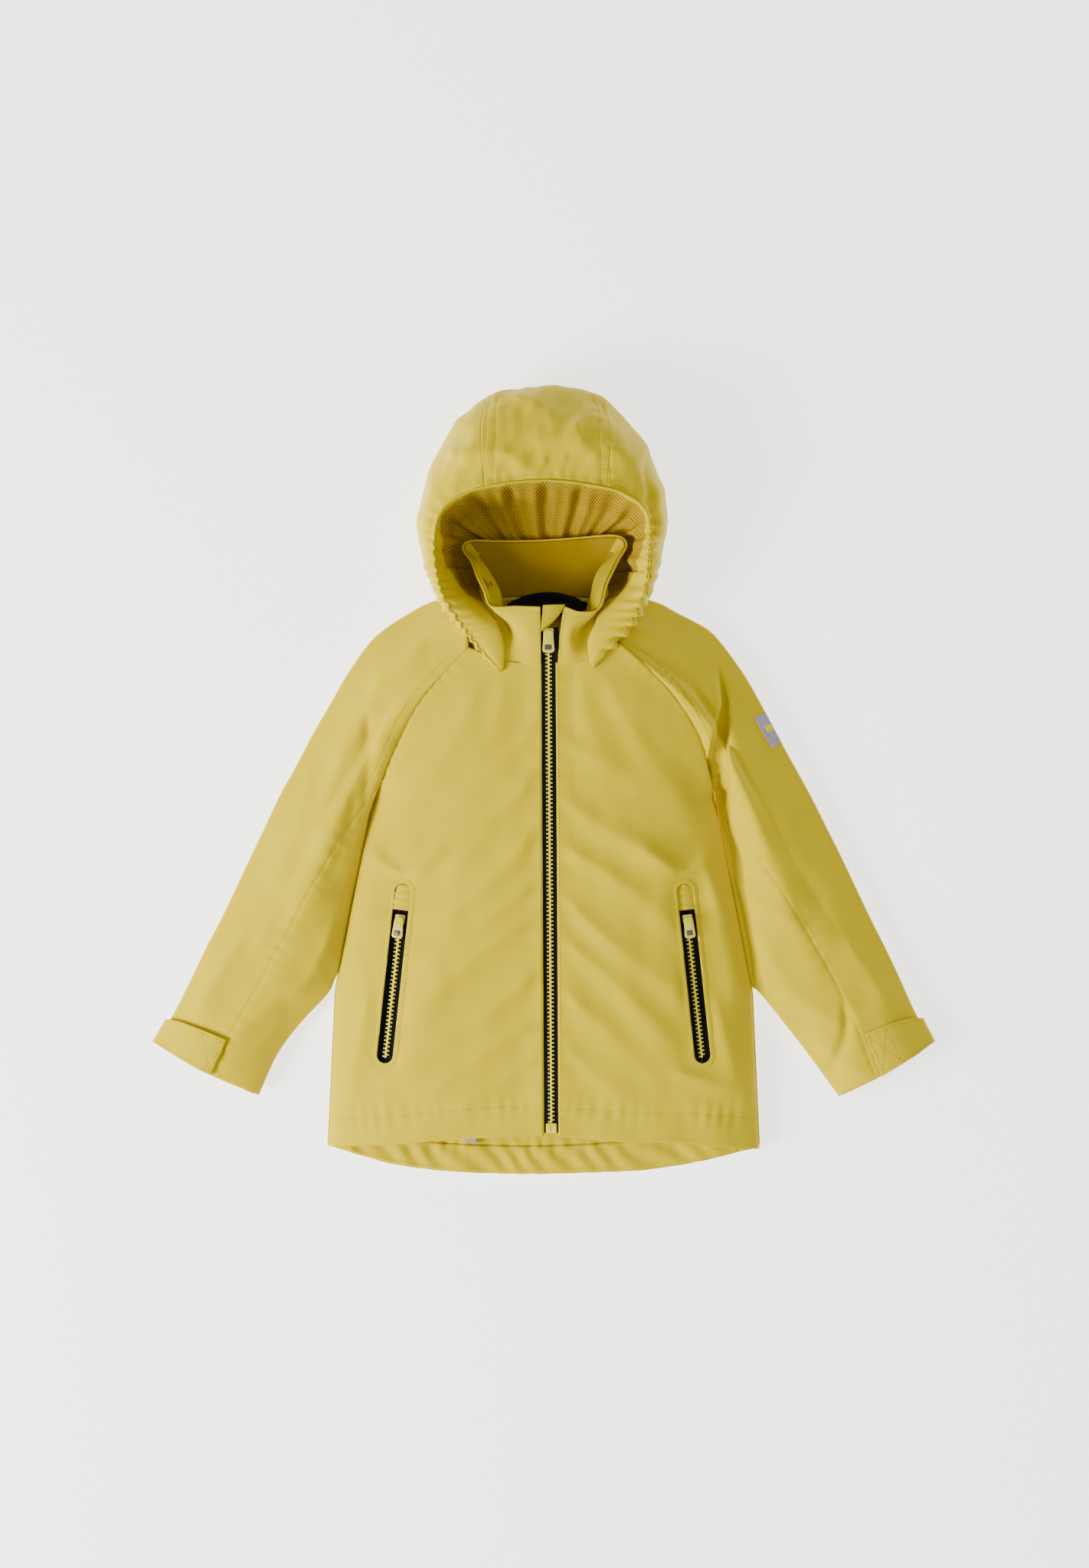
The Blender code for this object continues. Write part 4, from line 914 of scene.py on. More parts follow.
def piece_from(name, verts, faces, mat, smooth=True):
    """A closed piece from points and faces, turned outwards."""
    mesh = bpy.data.meshes.new(name)
    mesh.from_pydata(verts, [], faces)
    mesh.materials.append(mat)
    bm = bmesh.new()
    bm.from_mesh(mesh)
    bmesh.ops.recalc_face_normals(bm, faces=bm.faces)
    bm.to_mesh(mesh)
    bm.free()
    if smooth:
        mesh.shade_smooth()
        mesh.set_sharp_from_angle(angle=math.radians(40))
    obj = bpy.data.objects.new(name, mesh)
    bpy.context.scene.collection.objects.link(obj)
    return obj


def tooth_row(name, bottom, length, axes, side, phase, mat=TEETH_MAT, drop=0.0):
    """One row of moulded teeth along a tape edge."""
    verts, faces = [], []
    outline = [(side * a, b) for a, b in TOOTH_OUTLINE]
    for k in range(int(length / TOOTH_PITCH)):
        place = bottom + axes[1] * ((k + 0.5 + phase) * TOOTH_PITCH) + axes[2] * drop
        prism(verts, faces, place, axes, outline, 0.0001, 0.0021)
    return piece_from(name, verts, faces, mat)


def tape_strip(name, bottom, length, axes, inner, outer, drop=0.0, thick=0.0007):
    """A woven tape from an inner to an outer edge, with a corded bead at the inner edge."""
    us = np.array([inner, inner + 0.12 * (outer - inner), inner + 0.2 * (outer - inner),
                   *(inner + np.linspace(0.3, 1, 6) * (outer - inner))])
    bead = np.array([0.0000, 0.0004, 0.0002, 0, 0, 0, 0, 0, 0])
    rows = np.linspace(0, length, max(int(length / 0.0025), 2))
    points = (bottom[None, None] + axes[1] * rows[:, None, None] + axes[0] * us[None, :, None]
              + axes[2] * (bead[None, :, None] + drop - 0.00003))
    strip = as_mesh(name, points, TAPE_MAT, facing=axes[2])
    return cloth(strip, thick)


def rounded(obj, width, segments=2):
    """Rounds the edges of a hard piece."""
    bevel = obj.modifiers.new("edges", "BEVEL")
    bevel.width = width
    bevel.segments = segments
    bevel.limit_method = "ANGLE"
    finish_modifiers(obj)
    obj.data.shade_smooth()
    obj.data.set_sharp_from_angle(angle=math.radians(45))
    return obj


def hard_block(name, place, axes, size, mat, bevel):
    """A bevelled block, size across, along and out."""
    bpy.ops.object.select_all(action="DESELECT")
    bpy.ops.mesh.primitive_cube_add(size=1)
    block = bpy.context.active_object
    block.name = name
    block.data.name = name
    turn = Matrix([list(a) for a in axes]).transposed().to_4x4()
    block.data.transform(Matrix.Translation(Vector(place)) @ turn @ Matrix.Diagonal((*size, 1)))
    block.data.materials.append(mat)
    return rounded(block, bevel, 3)


def ring_plate(name, place, axes, outline, window, low, high, mat, bevel=0.00035):
    """A flat plate with a window through it; outline and window have as many points each."""
    u, v, n = axes
    count = len(outline)
    verts = [tuple(place + u * a + v * b + n * h) for h in (low, high) for ring in (outline, window) for a,
             b in ring]
    faces = []
    for k in range(count):
        j = (k + 1) % count
        faces.append((k, j, count + j, count + k))
        faces.append((2 * count + k, 3 * count + k, 3 * count + j, 2 * count + j))
        faces.append((k, 2 * count + k, 2 * count + j, j))
        faces.append((count + k, count + j, 3 * count + j, 3 * count + k))
    return rounded(piece_from(name, verts, faces, mat), bevel)


def round_box(width, length, radius, centre=(0, 0), count=5):
    """Outline of a rectangle with round corners."""
    out = []
    for sx, sy, start in ((1, 1, 0), (-1, 1, 90), (-1, -1, 180), (1, -1, 270)):
        for turn in np.linspace(start, start + 90, count):
            out.append((centre[0] + sx * (width / 2 - radius) + radius * math.cos(math.radians(turn)),
                        centre[1] + sy * (length / 2 - radius) + radius * math.sin(math.radians(turn))))
    return out


def zip_slider(name, place, axes, scale=1.0):
    """Slider body: two plates and side flanges, with a pair of lugs on top for the puller."""
    u, v = axes[:2]
    verts, faces = [], []
    wing = [(-0.0049, 0.0040), (-0.0042, 0.0054), (0.0042, 0.0054), (0.0049, 0.0040), (0.0044, -0.0030),
            (0.0034, -0.0054), (-0.0034, -0.0054), (-0.0044, -0.0030)]
    wing = [(a * scale, b * scale) for a, b in wing]
    prism(verts, faces, place, axes, wing, 0.0025, 0.0039, 0.0004)
    prism(verts, faces, place, axes, wing, -0.0022, -0.0011, 0.0003)
    for sign in (-1, 1):
        prism(verts, faces, place + u * sign * 0.0040 * scale + v * 0.0006, axes,
              round_box(0.0008, 0.0060 * scale, 0.0002, count=3), 0.0006, 0.0030, 0.0002)
        prism(verts, faces, place + u * sign * 0.0012 * scale, axes,
              round_box(0.0010, 0.0066 * scale, 0.0004, count=3), 0.0030, 0.0053, 0.0004)
    return piece_from(name, verts, faces, PAINT_MAT)


def zip_puller(name, pin, axes, length, width):
    """Flat painted puller that hangs from its pin, with a square window near its free end."""
    v, n = axes[1:]
    centre = pin - v * (length / 2 - 0.0012)
    outline = round_box(width, length, 0.0026)
    outline = [(a * (0.72 + 0.28 * np.clip((length / 2 - b) / (0.45 * length), 0, 1)), b) for a, b in outline]
    window = round_box(width * 0.60, length * 0.24, 0.0008, (0, -length * 0.25))
    plate = ring_plate(name, centre, axes, outline, window, -0.0009, 0.0009, PAINT_MAT)
    verts, faces = [], []
    prism(verts, faces, centre + v * length * 0.08, axes, round_box(width * 0.52, length * 0.34, 0.0010),
          0.0007, 0.00125, 0.0002)
    grip = piece_from(f"{name}_grip", verts, faces, PAINT_MAT)
    backing = hard_block(f"{name}_backing", centre - v * length * 0.25 - n * 0.0001, axes,
                         (width * 0.62, length * 0.26, 0.0007), STEEL_MAT, 0.0001)
    return [plate, grip, backing]


zip_foot = zip_point(ZIP_TEETH_BOTTOM)
zip_run = np.linalg.norm(zip_point(ZIP_TEETH_TOP) - zip_foot)
for side in (-1, 1):
    name = SIDE_NAMES[side]
    row = tooth_row(f"front_teeth_{name}", zip_foot, zip_run, ZIP_AXES, side, 0.25 * side)
    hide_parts(f"tooth_row_{name}")
    tape = tape_strip(f"front_tape_{name}", zip_point(ZIP_FOOT),
                      np.linalg.norm(zip_point(ZIP_HEAD) - zip_point(ZIP_FOOT)),
                      ZIP_AXES, side * 0.0004, side * 0.0092)
    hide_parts(f"zip_tape_{name}")
    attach(row, "torso")
    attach(tape, "torso")

box_place = zip_point(-0.3136)
box_verts, box_faces = [], []
prism(box_verts, box_faces, box_place, ZIP_AXES, round_box(0.0098, 0.0090, 0.0012), -0.0009, 0.0023, 0.0005)
for sign in (-1, 1):
    prism(box_verts, box_faces, box_place + ZIP_AXES[0] * sign * 0.0024, ZIP_AXES,
          round_box(0.0034, 0.0064, 0.0006, count=3), 0.0022, 0.0030, 0.0003)
retainer = piece_from("zip_box", box_verts, box_faces, TEETH_MAT)
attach(retainer, "torso")
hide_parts("retaining_box")

slider = zip_slider("front_slider", zip_point(0.1360), ZIP_AXES)
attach(slider, "zip_slider")
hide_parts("slider")
pulls = zip_puller("front_puller", np.array([0.004226, 0.137757, 0.063669]) - ZIP_AXES[2] * 0.0004, ZIP_AXES,
                   0.0200, 0.0108)
for piece in pulls:
    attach(piece, "zip_puller")
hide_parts("puller")

# ======================================================================= pocket zips
# Each pocket has a short zip set under a slot in the front. Its tape is sewn to the bag under
# the slot, and a cloth garage covers the upper end where the slider parks.
POCKET_SINK = 0.0046
GARAGE = 0.0240


def pocket_axes(side):
    """The pocket zip's line: its top end, and unit vectors across, up and out."""
    ends = [np.array([*p, float(body_top(np.array(p)))]) for p in (POCKET_TOP[side], POCKET_FOOT[side])]
    mid = (ends[0] + ends[1])[:2] / 2
    fall = (body_top(mid + [0.004, 0]) - body_top(mid - [0.004, 0])) / 0.008
    return ends[0], basis(ends[0] - ends[1], (1, 0, float(fall)))


for side in (-1, 1):
    name = SIDE_NAMES[side]
    top_end, axes = pocket_axes(side)
    u, v, n = axes
    foot = top_end - v * 0.1640 - n * POCKET_SINK
    for half_side, label in ((-1, "a"), (1, "b")):
        row = tooth_row(f"pocket_teeth_{name}_{label}", foot + v * 0.0040, 0.1330, axes, half_side,
                        0.25 * half_side)
        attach(row, "torso")
        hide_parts(f"pocket_teeth_{name}")
        tape = tape_strip(f"pocket_tape_{name}_{label}", foot - v * 0.004, 0.172, axes, half_side * 0.0004,
                          half_side * 0.0105)
        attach(tape, "torso")
        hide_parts(f"pocket_tape_{name}")

    pin = np.array([side * 0.131823, -0.122314, 0.038835])
    slide = zip_slider(f"pocket_slide_{name}", top_end - v * 0.0335 - n * POCKET_SINK, axes, 0.95)
    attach(slide, f"pocket_slider_{name}")
    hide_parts(f"pocket_slider_{name}")
    pulls = zip_puller(f"pocket_pull_{name}", pin, axes, 0.0195, 0.0100)
    for piece in pulls:
        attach(piece, f"pocket_puller_{name}")
    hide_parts(f"pocket_puller_{name}")

    across = np.linspace(-1, 1, 17)
    along = np.linspace(0.0005, GARAGE, 21)
    half_w = SLOT_HALF + 0.0010
    cap = np.clip(np.sqrt(np.clip(1 - (1 - np.clip(along / half_w, 0, 1)) ** 2, 0, 1)), 0.08, 1)
    grid_u = across[None, :] * half_w * cap[:, None]
    arch = (1 - across[None, :] ** 2) * 0.0016 - 0.0022 + 0.0004 * np.sin(along[:, None] * 900 + side)
    points = (top_end[None, None] - v * along[:, None, None] + u * grid_u[..., None] + n * arch[..., None])
    garage = as_mesh(f"garage_cloth_{name}", points, YELLOW, facing=n)
    cloth(garage, 0.0010)
    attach(garage, "torso")
    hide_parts(f"pocket_garage_{name}")

# ======================================================================= hood lining cloths
# The hood is lined with open yellow net, its holes painted dark as shade, over a facing of shell
# cloth. The collar is lined with smooth cloth whose dark mustard colour is partly its dye and partly
# painted shade, and edged with a brighter band.


def net_material(name, hole, yarn):
    """Warp-knitted net: slanting yarns with small holes between them, the holes painted dark as the shade
    behind the net.
    """
    mat = bpy.data.materials.new(name)
    mat.use_nodes = True
    nodes, links = mat.node_tree.nodes, mat.node_tree.links
    shader = nodes["Principled BSDF"]
    place = nodes.new("ShaderNodeTexCoord")
    turn = nodes.new("ShaderNodeMapping")
    turn.inputs["Rotation"].default_value = (0.0, 0.0, math.radians(45))
    links.new(place.outputs["Object"], turn.inputs["Vector"])
    strands = []
    for axis in ("X", "Y"):
        wave = nodes.new("ShaderNodeTexWave")
        wave.bands_direction = axis
        wave.inputs["Scale"].default_value = 175.0
        wave.inputs["Distortion"].default_value = 0.5
        links.new(turn.outputs["Vector"], wave.inputs["Vector"])
        strands.append(wave)
    lace = nodes.new("ShaderNodeMath")
    lace.operation = "MULTIPLY"
    links.new(strands[0].outputs["Fac"], lace.inputs[0])
    links.new(strands[1].outputs["Fac"], lace.inputs[1])
    ramp = nodes.new("ShaderNodeValToRGB")
    ramp.color_ramp.elements[0].position = 0.25
    ramp.color_ramp.elements[0].color = (*yarn, 1)
    # painted shade: the holes get a dark brown that stands for the shaded cloth behind the net
    ramp.color_ramp.elements[1].position = 0.55
    ramp.color_ramp.elements[1].color = (*hole, 1)
    links.new(lace.outputs[0], ramp.inputs["Fac"])
    links.new(ramp.outputs["Color"], shader.inputs["Base Color"])
    relief = nodes.new("ShaderNodeBump")
    relief.invert = True
    relief.inputs["Strength"].default_value = 0.8
    relief.inputs["Distance"].default_value = 0.0006
    links.new(lace.outputs[0], relief.inputs["Height"])
    links.new(relief.outputs["Normal"], shader.inputs["Normal"])
    shader.inputs["Roughness"].default_value = 0.8
    shader.inputs["Specular IOR Level"].default_value = 0.1
    return mat


# painted shade: the first colour is the dark of the holes, standing for the shade behind the net; the second is
# the yarn
NET_WITH_SHADED_HOLES = net_material("yellow_net_with_painted_shade_holes", (0.13, 0.070, 0.002), (0.44, 0.285, 0.006))
# painted shade: the lining's dark mustard colours carry the shade inside the collar as well as the cloth's own
# dye
LINING = cloth_material("mustard_lining_with_painted_shade", (0.27, 0.170, 0.003), (0.32, 0.205, 0.004), 0.62, 500, 0.2)
BAND = cloth_material("bright_lining_band", (0.50, 0.385, 0.001), (0.55, 0.430, 0.002), 0.6, 500, 0.2)
BLACK = cloth_material("black_facing_cloth", (0.012, 0.011, 0.011), (0.022, 0.021, 0.020), 0.75, 500, 0.4)

# ======================================================================= hood
# Two coated side panels and a centre panel stand up around the opening, which is gathered with
# elastic at both sides and ends in loose pointed corners over the shoulders.
# Each row is one place along the rim: the rim, the outermost line, and the line on the table.
HOOD_LEFT = [
    ((-0.0390, 0.1020, 0.0590), (-0.0400, 0.1015, 0.0575), (-0.0385, 0.1035, 0.0568)),
    ((-0.0560, 0.1210, 0.0606), (-0.0575, 0.1202, 0.0580), (-0.0540, 0.1230, 0.0560)),
    ((-0.0720, 0.1405, 0.0630), (-0.0745, 0.1400, 0.0575), (-0.0690, 0.1430, 0.0500)),
    ((-0.0877, 0.1630, 0.0675), (-0.0950, 0.1640, 0.0560), (-0.0860, 0.1660, 0.0360)),
    ((-0.0950, 0.1810, 0.0720), (-0.1030, 0.1840, 0.0500), (-0.0930, 0.1850, 0.0140)),
    ((-0.0990, 0.2040, 0.0770), (-0.1095, 0.2020, 0.0470), (-0.0980, 0.2070, 0.0040)),
    ((-0.0990, 0.2210, 0.0820), (-0.1145, 0.2280, 0.0460), (-0.1010, 0.2280, 0.0025)),
    ((-0.0960, 0.2380, 0.0870), (-0.1135, 0.2520, 0.0460), (-0.0990, 0.2500, 0.0020)),
    ((-0.0870, 0.2515, 0.0910), (-0.1010, 0.2940, 0.0460), (-0.0880, 0.2880, 0.0020)),
    ((-0.0700, 0.2615, 0.0945), (-0.0815, 0.3250, 0.0475), (-0.0700, 0.3100, 0.0020)),
    ((-0.0530, 0.2662, 0.0970), (-0.0510, 0.3545, 0.0505), (-0.0460, 0.3290, 0.0020)),
    ((-0.0265, 0.2705, 0.0980), (-0.0240, 0.3590, 0.0515), (-0.0230, 0.3335, 0.0020)),
    ((0.0000, 0.2720, 0.0985), (0.0000, 0.3600, 0.0520), (0.0000, 0.3340, 0.0020)),
]
# the right side stands a little differently: a wider gather below, and a corner nearer the zip
HOOD_SHIFT = {0: (0.0056, 0.0037), 1: (0.0040, 0.0030), 2: (0.0050, 0.0020), 3: (0.0000, 0.0010),
              4: (-0.0020, -0.0010),
              5: (-0.0040, -0.0040), 6: (-0.0030, -0.0020), 7: (-0.0010, 0.0000),
              10: (0.0040, -0.0010)}


def loose_curve(points, count):
    """Smooth line through points, with the same number of steps between each two of them."""
    pts = np.array(points, float)
    pts = np.vstack([2 * pts[0] - pts[1], pts, 2 * pts[-1] - pts[-2]])
    where = np.linspace(0, len(pts) - 3, count)
    k = np.minimum(where.astype(int), len(pts) - 4)
    t = (where - k)[:, None]
    a, b, c, d = pts[k], pts[k + 1], pts[k + 2], pts[k + 3]
    return 0.5 * (2 * b + (c - a) * t + (2 * a - 5 * b + 4 * c - d) * t ** 2 + (3 * b - a - 3 * c + d) * t ** 3)


HOOD_ROWS = 481


def both_sides(rows):
    """Rows of the wearer's right half, and then the same mirrored with the other side's shifts."""
    other = []
    for k, row in list(enumerate(rows))[:-1][::-1]:
        dx, dy = HOOD_SHIFT.get(k, (0, 0))
        other.append([(-x + dx, y + dy, z) for x, y, z in row])
    return np.array([list(r) for r in rows] + other, float)


hood_lines = both_sides(HOOD_LEFT)
rim, widest, ground = (loose_curve(hood_lines[:, k], HOOD_ROWS) for k in range(3))
smooth_steps = 25
box_filter = np.ones(smooth_steps) / smooth_steps
for line in (widest, ground):
    padded = np.vstack([np.repeat(line[:1], smooth_steps // 2, 0), line,
                        np.repeat(line[-1:], smooth_steps // 2, 0)])
    softened = np.stack([np.convolve(padded[:, k], box_filter, "valid") for k in range(3)], 1)
    keep_ends = np.clip(np.minimum(np.arange(HOOD_ROWS), np.arange(HOOD_ROWS)[::-1]) / 60, 0, 1)[:, None]
    line += (softened - line) * keep_ends
rim_run = np.r_[0, np.cumsum(np.linalg.norm(np.diff(rim, axis=0), axis=1))]
place = np.linspace(-1, 1, HOOD_ROWS)


def bump_between(x, low, high, soft):
    """1 between two values, falling to 0 over a soft margin."""
    rise = np.clip((x - low) / soft + 0.5, 0, 1)
    fall = np.clip((high - x) / soft + 0.5, 0, 1)
    return (rise * rise * (3 - 2 * rise)) * (fall * fall * (3 - 2 * fall))


gather_left = bump_between(place, -0.93, -0.50, 0.12)
gather_right = bump_between(place, 0.44, 0.93, 0.10)
ruffle = (gather_left * np.sin(2 * math.pi * rim_run / 0.0088 + 1.2 * np.sin(rim_run * 130))
          + 1.5 * gather_right * np.sin(2 * math.pi * rim_run / 0.0118 + 1.5 * np.sin(rim_run * 95)))
away = rim[:, :2] - np.array([0, 0.205])
away /= np.linalg.norm(away, axis=1)[:, None]


def hood_section(k, count):
    """Points of the shell from the rim over the outside and down to the table."""
    r, w, g = rim[k], widest[k], ground[k]
    step = np.linalg.norm(w - r)
    over = (r + w) / 2 + np.array([*(away[k] * step * 0.06), step * 0.15])
    low = np.array([(w[0] * 0.55 + g[0] * 0.45) + away[k][0] * 0.004,
                    (w[1] * 0.55 + g[1] * 0.45) + away[k][1] * 0.004,
                    (w[2] + g[2]) * 0.36])
    return curve_through([r, over, w, low, g], count)


HOOD_COLS = 72
shell = np.array([hood_section(k, HOOD_COLS) for k in range(HOOD_ROWS)])
reach_in = np.linspace(0, 1, 9)[1:]
lying = np.clip(1 - (ground[:, 2] - 0.0025) / 0.02, 0, 1)[:, None]
hub = np.stack([ground[:, 0] * 0.60, 0.182 + 0.0 * ground[:, 1], ground[:, 2]], 1) * lying + (
    ground + np.array([0, 0.003, -0.001])) * (1 - lying)
under = ground[:, None] * (1 - reach_in)[None, :, None] + hub[:, None] * reach_in[None, :, None]
shell = np.concatenate([shell, under], axis=1)
shell[:, HOOD_COLS:, 2] = np.maximum(shell[:, HOOD_COLS:, 2], 0.0018)

plan = shell[..., :2]
d_rim = to_line(plan, rim[:, :2])[0].reshape(plan.shape[:-1])
HOOD_SEAMS = [
    [(-0.0470, 0.3560), (-0.0505, 0.3370), (-0.0520, 0.3050), (-0.0537, 0.2660)],
    [(-0.0415, 0.3560), (-0.0430, 0.3370), (-0.0440, 0.3050), (-0.0460, 0.2660)],
    [(0.0430, 0.3560), (0.0490, 0.3390), (0.0500, 0.3050), (0.0516, 0.2660)],
    [(0.0490, 0.3520), (0.0560, 0.3370), (0.0590, 0.2900), (0.0603, 0.2640)],
]
hood_relief = sum(seam_relief(plan, curve_through(line, 50), groove=0.0006, pucker=0.0006, reach=0.006,
                              pitch=0.012, seed=21 + k)
                  for k, line in enumerate(HOOD_SEAMS))
HOOD_FOLDS = [((-0.030, 0.352), (0.012, 0.330), 0.008, 0.0030, 0.001),
              ((-0.090, 0.335), (-0.055, 0.312), 0.011, 0.0020, 0.002),
              ((-0.085, 0.296), (-0.045, 0.300), 0.009, 0.0028, -0.002),
              ((-0.040, 0.300), (-0.010, 0.276), 0.008, 0.0026, 0.002),
              ((-0.010, 0.306), (0.030, 0.312), 0.012, 0.0030, 0.003),
              ((0.028, 0.324), (0.048, 0.290), 0.009, 0.0034, -0.002),
              ((0.040, 0.352), (0.085, 0.318), 0.010, -0.0026, 0.002),
              ((0.052, 0.302), (0.084, 0.286), 0.009, 0.0026, 0.002),
              ((0.002, 0.292), (-0.006, 0.276), 0.005, 0.0016, 0.0),
              ((0.020, 0.294), (0.014, 0.276), 0.005, 0.0016, 0.0),
              ((-0.100, 0.285), (-0.108, 0.215), 0.007, 0.0016, 0.002),
              ((0.094, 0.290), (0.103, 0.215), 0.006, -0.0030, -0.002),
              ((0.101, 0.270), (0.108, 0.225), 0.005, 0.0020, -0.001),
              ((-0.070, 0.300), (-0.095, 0.250), 0.008, 0.0018, 0.003)]
hood_relief = hood_relief + 1.2 * sum(crease(plan, a, b, w, h, bow) for a, b, w, h, bow in HOOD_FOLDS)
hood_relief = hood_relief + drift(plan, 25, 0.045, 0.0011, 91) + drift(plan, 80, 0.022, 0.0004, 92)
hood_relief = hood_relief + seam_relief(plan, rim[:, :2], groove=0.0, pucker=0.0009, reach=0.008, pitch=0.0105,
                                        seed=31)
hood_relief *= np.clip(d_rim / 0.004, 0, 1)


def grid_normals(points):
    across = np.gradient(points, axis=1)
    along = np.gradient(points, axis=0)
    n = np.cross(along, across)
    size = np.linalg.norm(n, axis=2, keepdims=True)
    return n / np.maximum(size, 1e-12)


normals = grid_normals(shell)
if normals[HOOD_ROWS // 2, 20, 2] < 0:
    normals = -normals
fade_down = np.clip((shell[..., 2] - 0.030) / 0.020, 0, 1)
shell = shell + normals * (hood_relief * fade_down)[..., None]
gathered = (ruffle[:, None] * np.exp(-(d_rim / 0.0085) ** 1.6)) * fade_down
shell = shell + normals * (0.0017 * gathered)[..., None]
shell[..., :2] += away[:, None] * (0.0008 * ruffle[:, None] * np.exp(-d_rim / 0.004))[..., None]

hood_middle = np.array([0, 0.23, 0.035])
seam_a, seam_b = (HOOD_ROWS - 1) * 10 // 24, (HOOD_ROWS - 1) * 14 // 24
pieces_of_hood = {"right": (0, seam_a), "centre": (seam_a, seam_b), "left": (seam_b, HOOD_ROWS - 1)}


def lift_with_hood(piece):
    """Bakes a piece's placement into its mesh."""
    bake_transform(piece)


def from_hood_middle(centres):
    return centres - hood_middle


hood_cloth = {}
for label, (first, last) in pieces_of_hood.items():
    panel = as_mesh(f"hood_cloth_{label}", shell[first:last + 1], YELLOW, facing=from_hood_middle)
    cloth(panel, 0.0011)
    lift_with_hood(panel)
    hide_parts("hood_centre" if label == "centre" else f"hood_side_{label}")
    hood_cloth[label] = panel

rim_row = rim[:, :2] + away * 0.0045
centre_rows = [curve_through(HOOD_SEAMS[1], 40), curve_through(HOOD_SEAMS[2], 40), rim_row[seam_a:seam_b]]
side_rows = {"right": [shifted(curve_through(HOOD_SEAMS[0], 40), -0.0012), rim_row[int(seam_a * 0.55):seam_a]],
             "left": [curve_through(HOOD_SEAMS[3], 40), rim_row[seam_b:int(seam_b + seam_a * 0.45)]]}
for label, rows in (("centre", centre_rows), *side_rows.items()):
    sewn = stitches(f"hood_stitches_{label}", hood_cloth[label], rows)
    lift_with_hood(sewn)

# ======================================================================= hood lining and facing
# Inside the rim lies a facing of shell cloth, wide at the corners and narrow at the top, and from
# there a loose net lining hangs down to the back of the neck in upright folds.
LINING_LEFT = [
    ((-0.0390, 0.1024, 0.0593), (-0.0382, 0.1030, 0.0598), (-0.0372, 0.1040, 0.0596),
     (-0.0364, 0.1050, 0.0590), (-0.0360, 0.1065, 0.0575)),
    ((-0.0556, 0.1212, 0.0612), (-0.0495, 0.1218, 0.0632), (-0.0430, 0.1232, 0.0630),
     (-0.0364, 0.1250, 0.0606), (-0.0360, 0.1270, 0.0560)),
    ((-0.0715, 0.1406, 0.0636), (-0.0620, 0.1410, 0.0646), (-0.0520, 0.1420, 0.0640),
     (-0.0425, 0.1432, 0.0606), (-0.0420, 0.1450, 0.0540)),
    ((-0.0870, 0.1630, 0.0682), (-0.0780, 0.1630, 0.0650), (-0.0680, 0.1640, 0.0590),
     (-0.0600, 0.1650, 0.0480), (-0.0500, 0.1660, 0.0300)),
    ((-0.0942, 0.1810, 0.0726), (-0.0870, 0.1822, 0.0620), (-0.0790, 0.1840, 0.0460),
     (-0.0720, 0.1860, 0.0220), (-0.0520, 0.1880, 0.0090)),
    ((-0.0982, 0.2040, 0.0776), (-0.0915, 0.2040, 0.0640), (-0.0850, 0.2050, 0.0450),
     (-0.0780, 0.2060, 0.0200), (-0.0520, 0.2020, 0.0080)),
    ((-0.0982, 0.2208, 0.0826), (-0.0920, 0.2206, 0.0680), (-0.0860, 0.2210, 0.0470),
     (-0.0800, 0.2220, 0.0200), (-0.0500, 0.2120, 0.0080)),
    ((-0.0952, 0.2376, 0.0876), (-0.0900, 0.2350, 0.0720), (-0.0850, 0.2330, 0.0500),
     (-0.0790, 0.2310, 0.0210), (-0.0460, 0.2160, 0.0080)),
    ((-0.0864, 0.2508, 0.0916), (-0.0830, 0.2470, 0.0750), (-0.0790, 0.2430, 0.0510),
     (-0.0730, 0.2380, 0.0220), (-0.0420, 0.2180, 0.0080)),
    ((-0.0696, 0.2608, 0.0950), (-0.0680, 0.2570, 0.0770), (-0.0650, 0.2520, 0.0520),
     (-0.0600, 0.2440, 0.0220), (-0.0360, 0.2190, 0.0080)),
    ((-0.0498, 0.2662, 0.0975), (-0.0490, 0.2630, 0.0780), (-0.0470, 0.2580, 0.0520),
     (-0.0440, 0.2480, 0.0220), (-0.0280, 0.2200, 0.0080)),
    ((-0.0259, 0.2697, 0.0985), (-0.0256, 0.2660, 0.0790), (-0.0250, 0.2610, 0.0520),
     (-0.0230, 0.2500, 0.0220), (-0.0150, 0.2200, 0.0080)),
    ((0.0000, 0.2712, 0.0990), (0.0000, 0.2675, 0.0790), (0.0000, 0.2620, 0.0520), (0.0000, 0.2510, 0.0220),
     (0.0000, 0.2200, 0.0080)),
]
lining_lines = [loose_curve(both_sides(LINING_LEFT)[:, k], HOOD_ROWS) for k in range(5)]
LINING_COLS = 46
inside = np.array([curve_through([line[k] for line in lining_lines], LINING_COLS) for k in range(HOOD_ROWS)])
inside_run = np.linspace(0, 1, LINING_COLS)[None, :]
hang = np.sin(rim_run * 2 * math.pi / 0.034 + 1.4 * np.sin(rim_run * 19)) + 0.6 * np.sin(rim_run * 2 * math.pi
                                                                                         / 0.017)
normals = grid_normals(inside)
if normals[HOOD_ROWS // 2, 20, 2] < 0:
    normals = -normals
deep = np.clip(inside_run / 0.35, 0, 1) * np.clip((np.abs(place[:, None]) < 0.62) * 1.0, 0, 1)
inside = inside + normals * (0.0022 * hang[:, None] * deep)[..., None]
inside = inside + normals * (0.0016 * ruffle[:, None] * np.exp(-inside_run / 0.16))[..., None]
inside[..., :2] += away[:, None] * (0.0008 * ruffle[:, None] * np.exp(-inside_run / 0.10))[..., None]

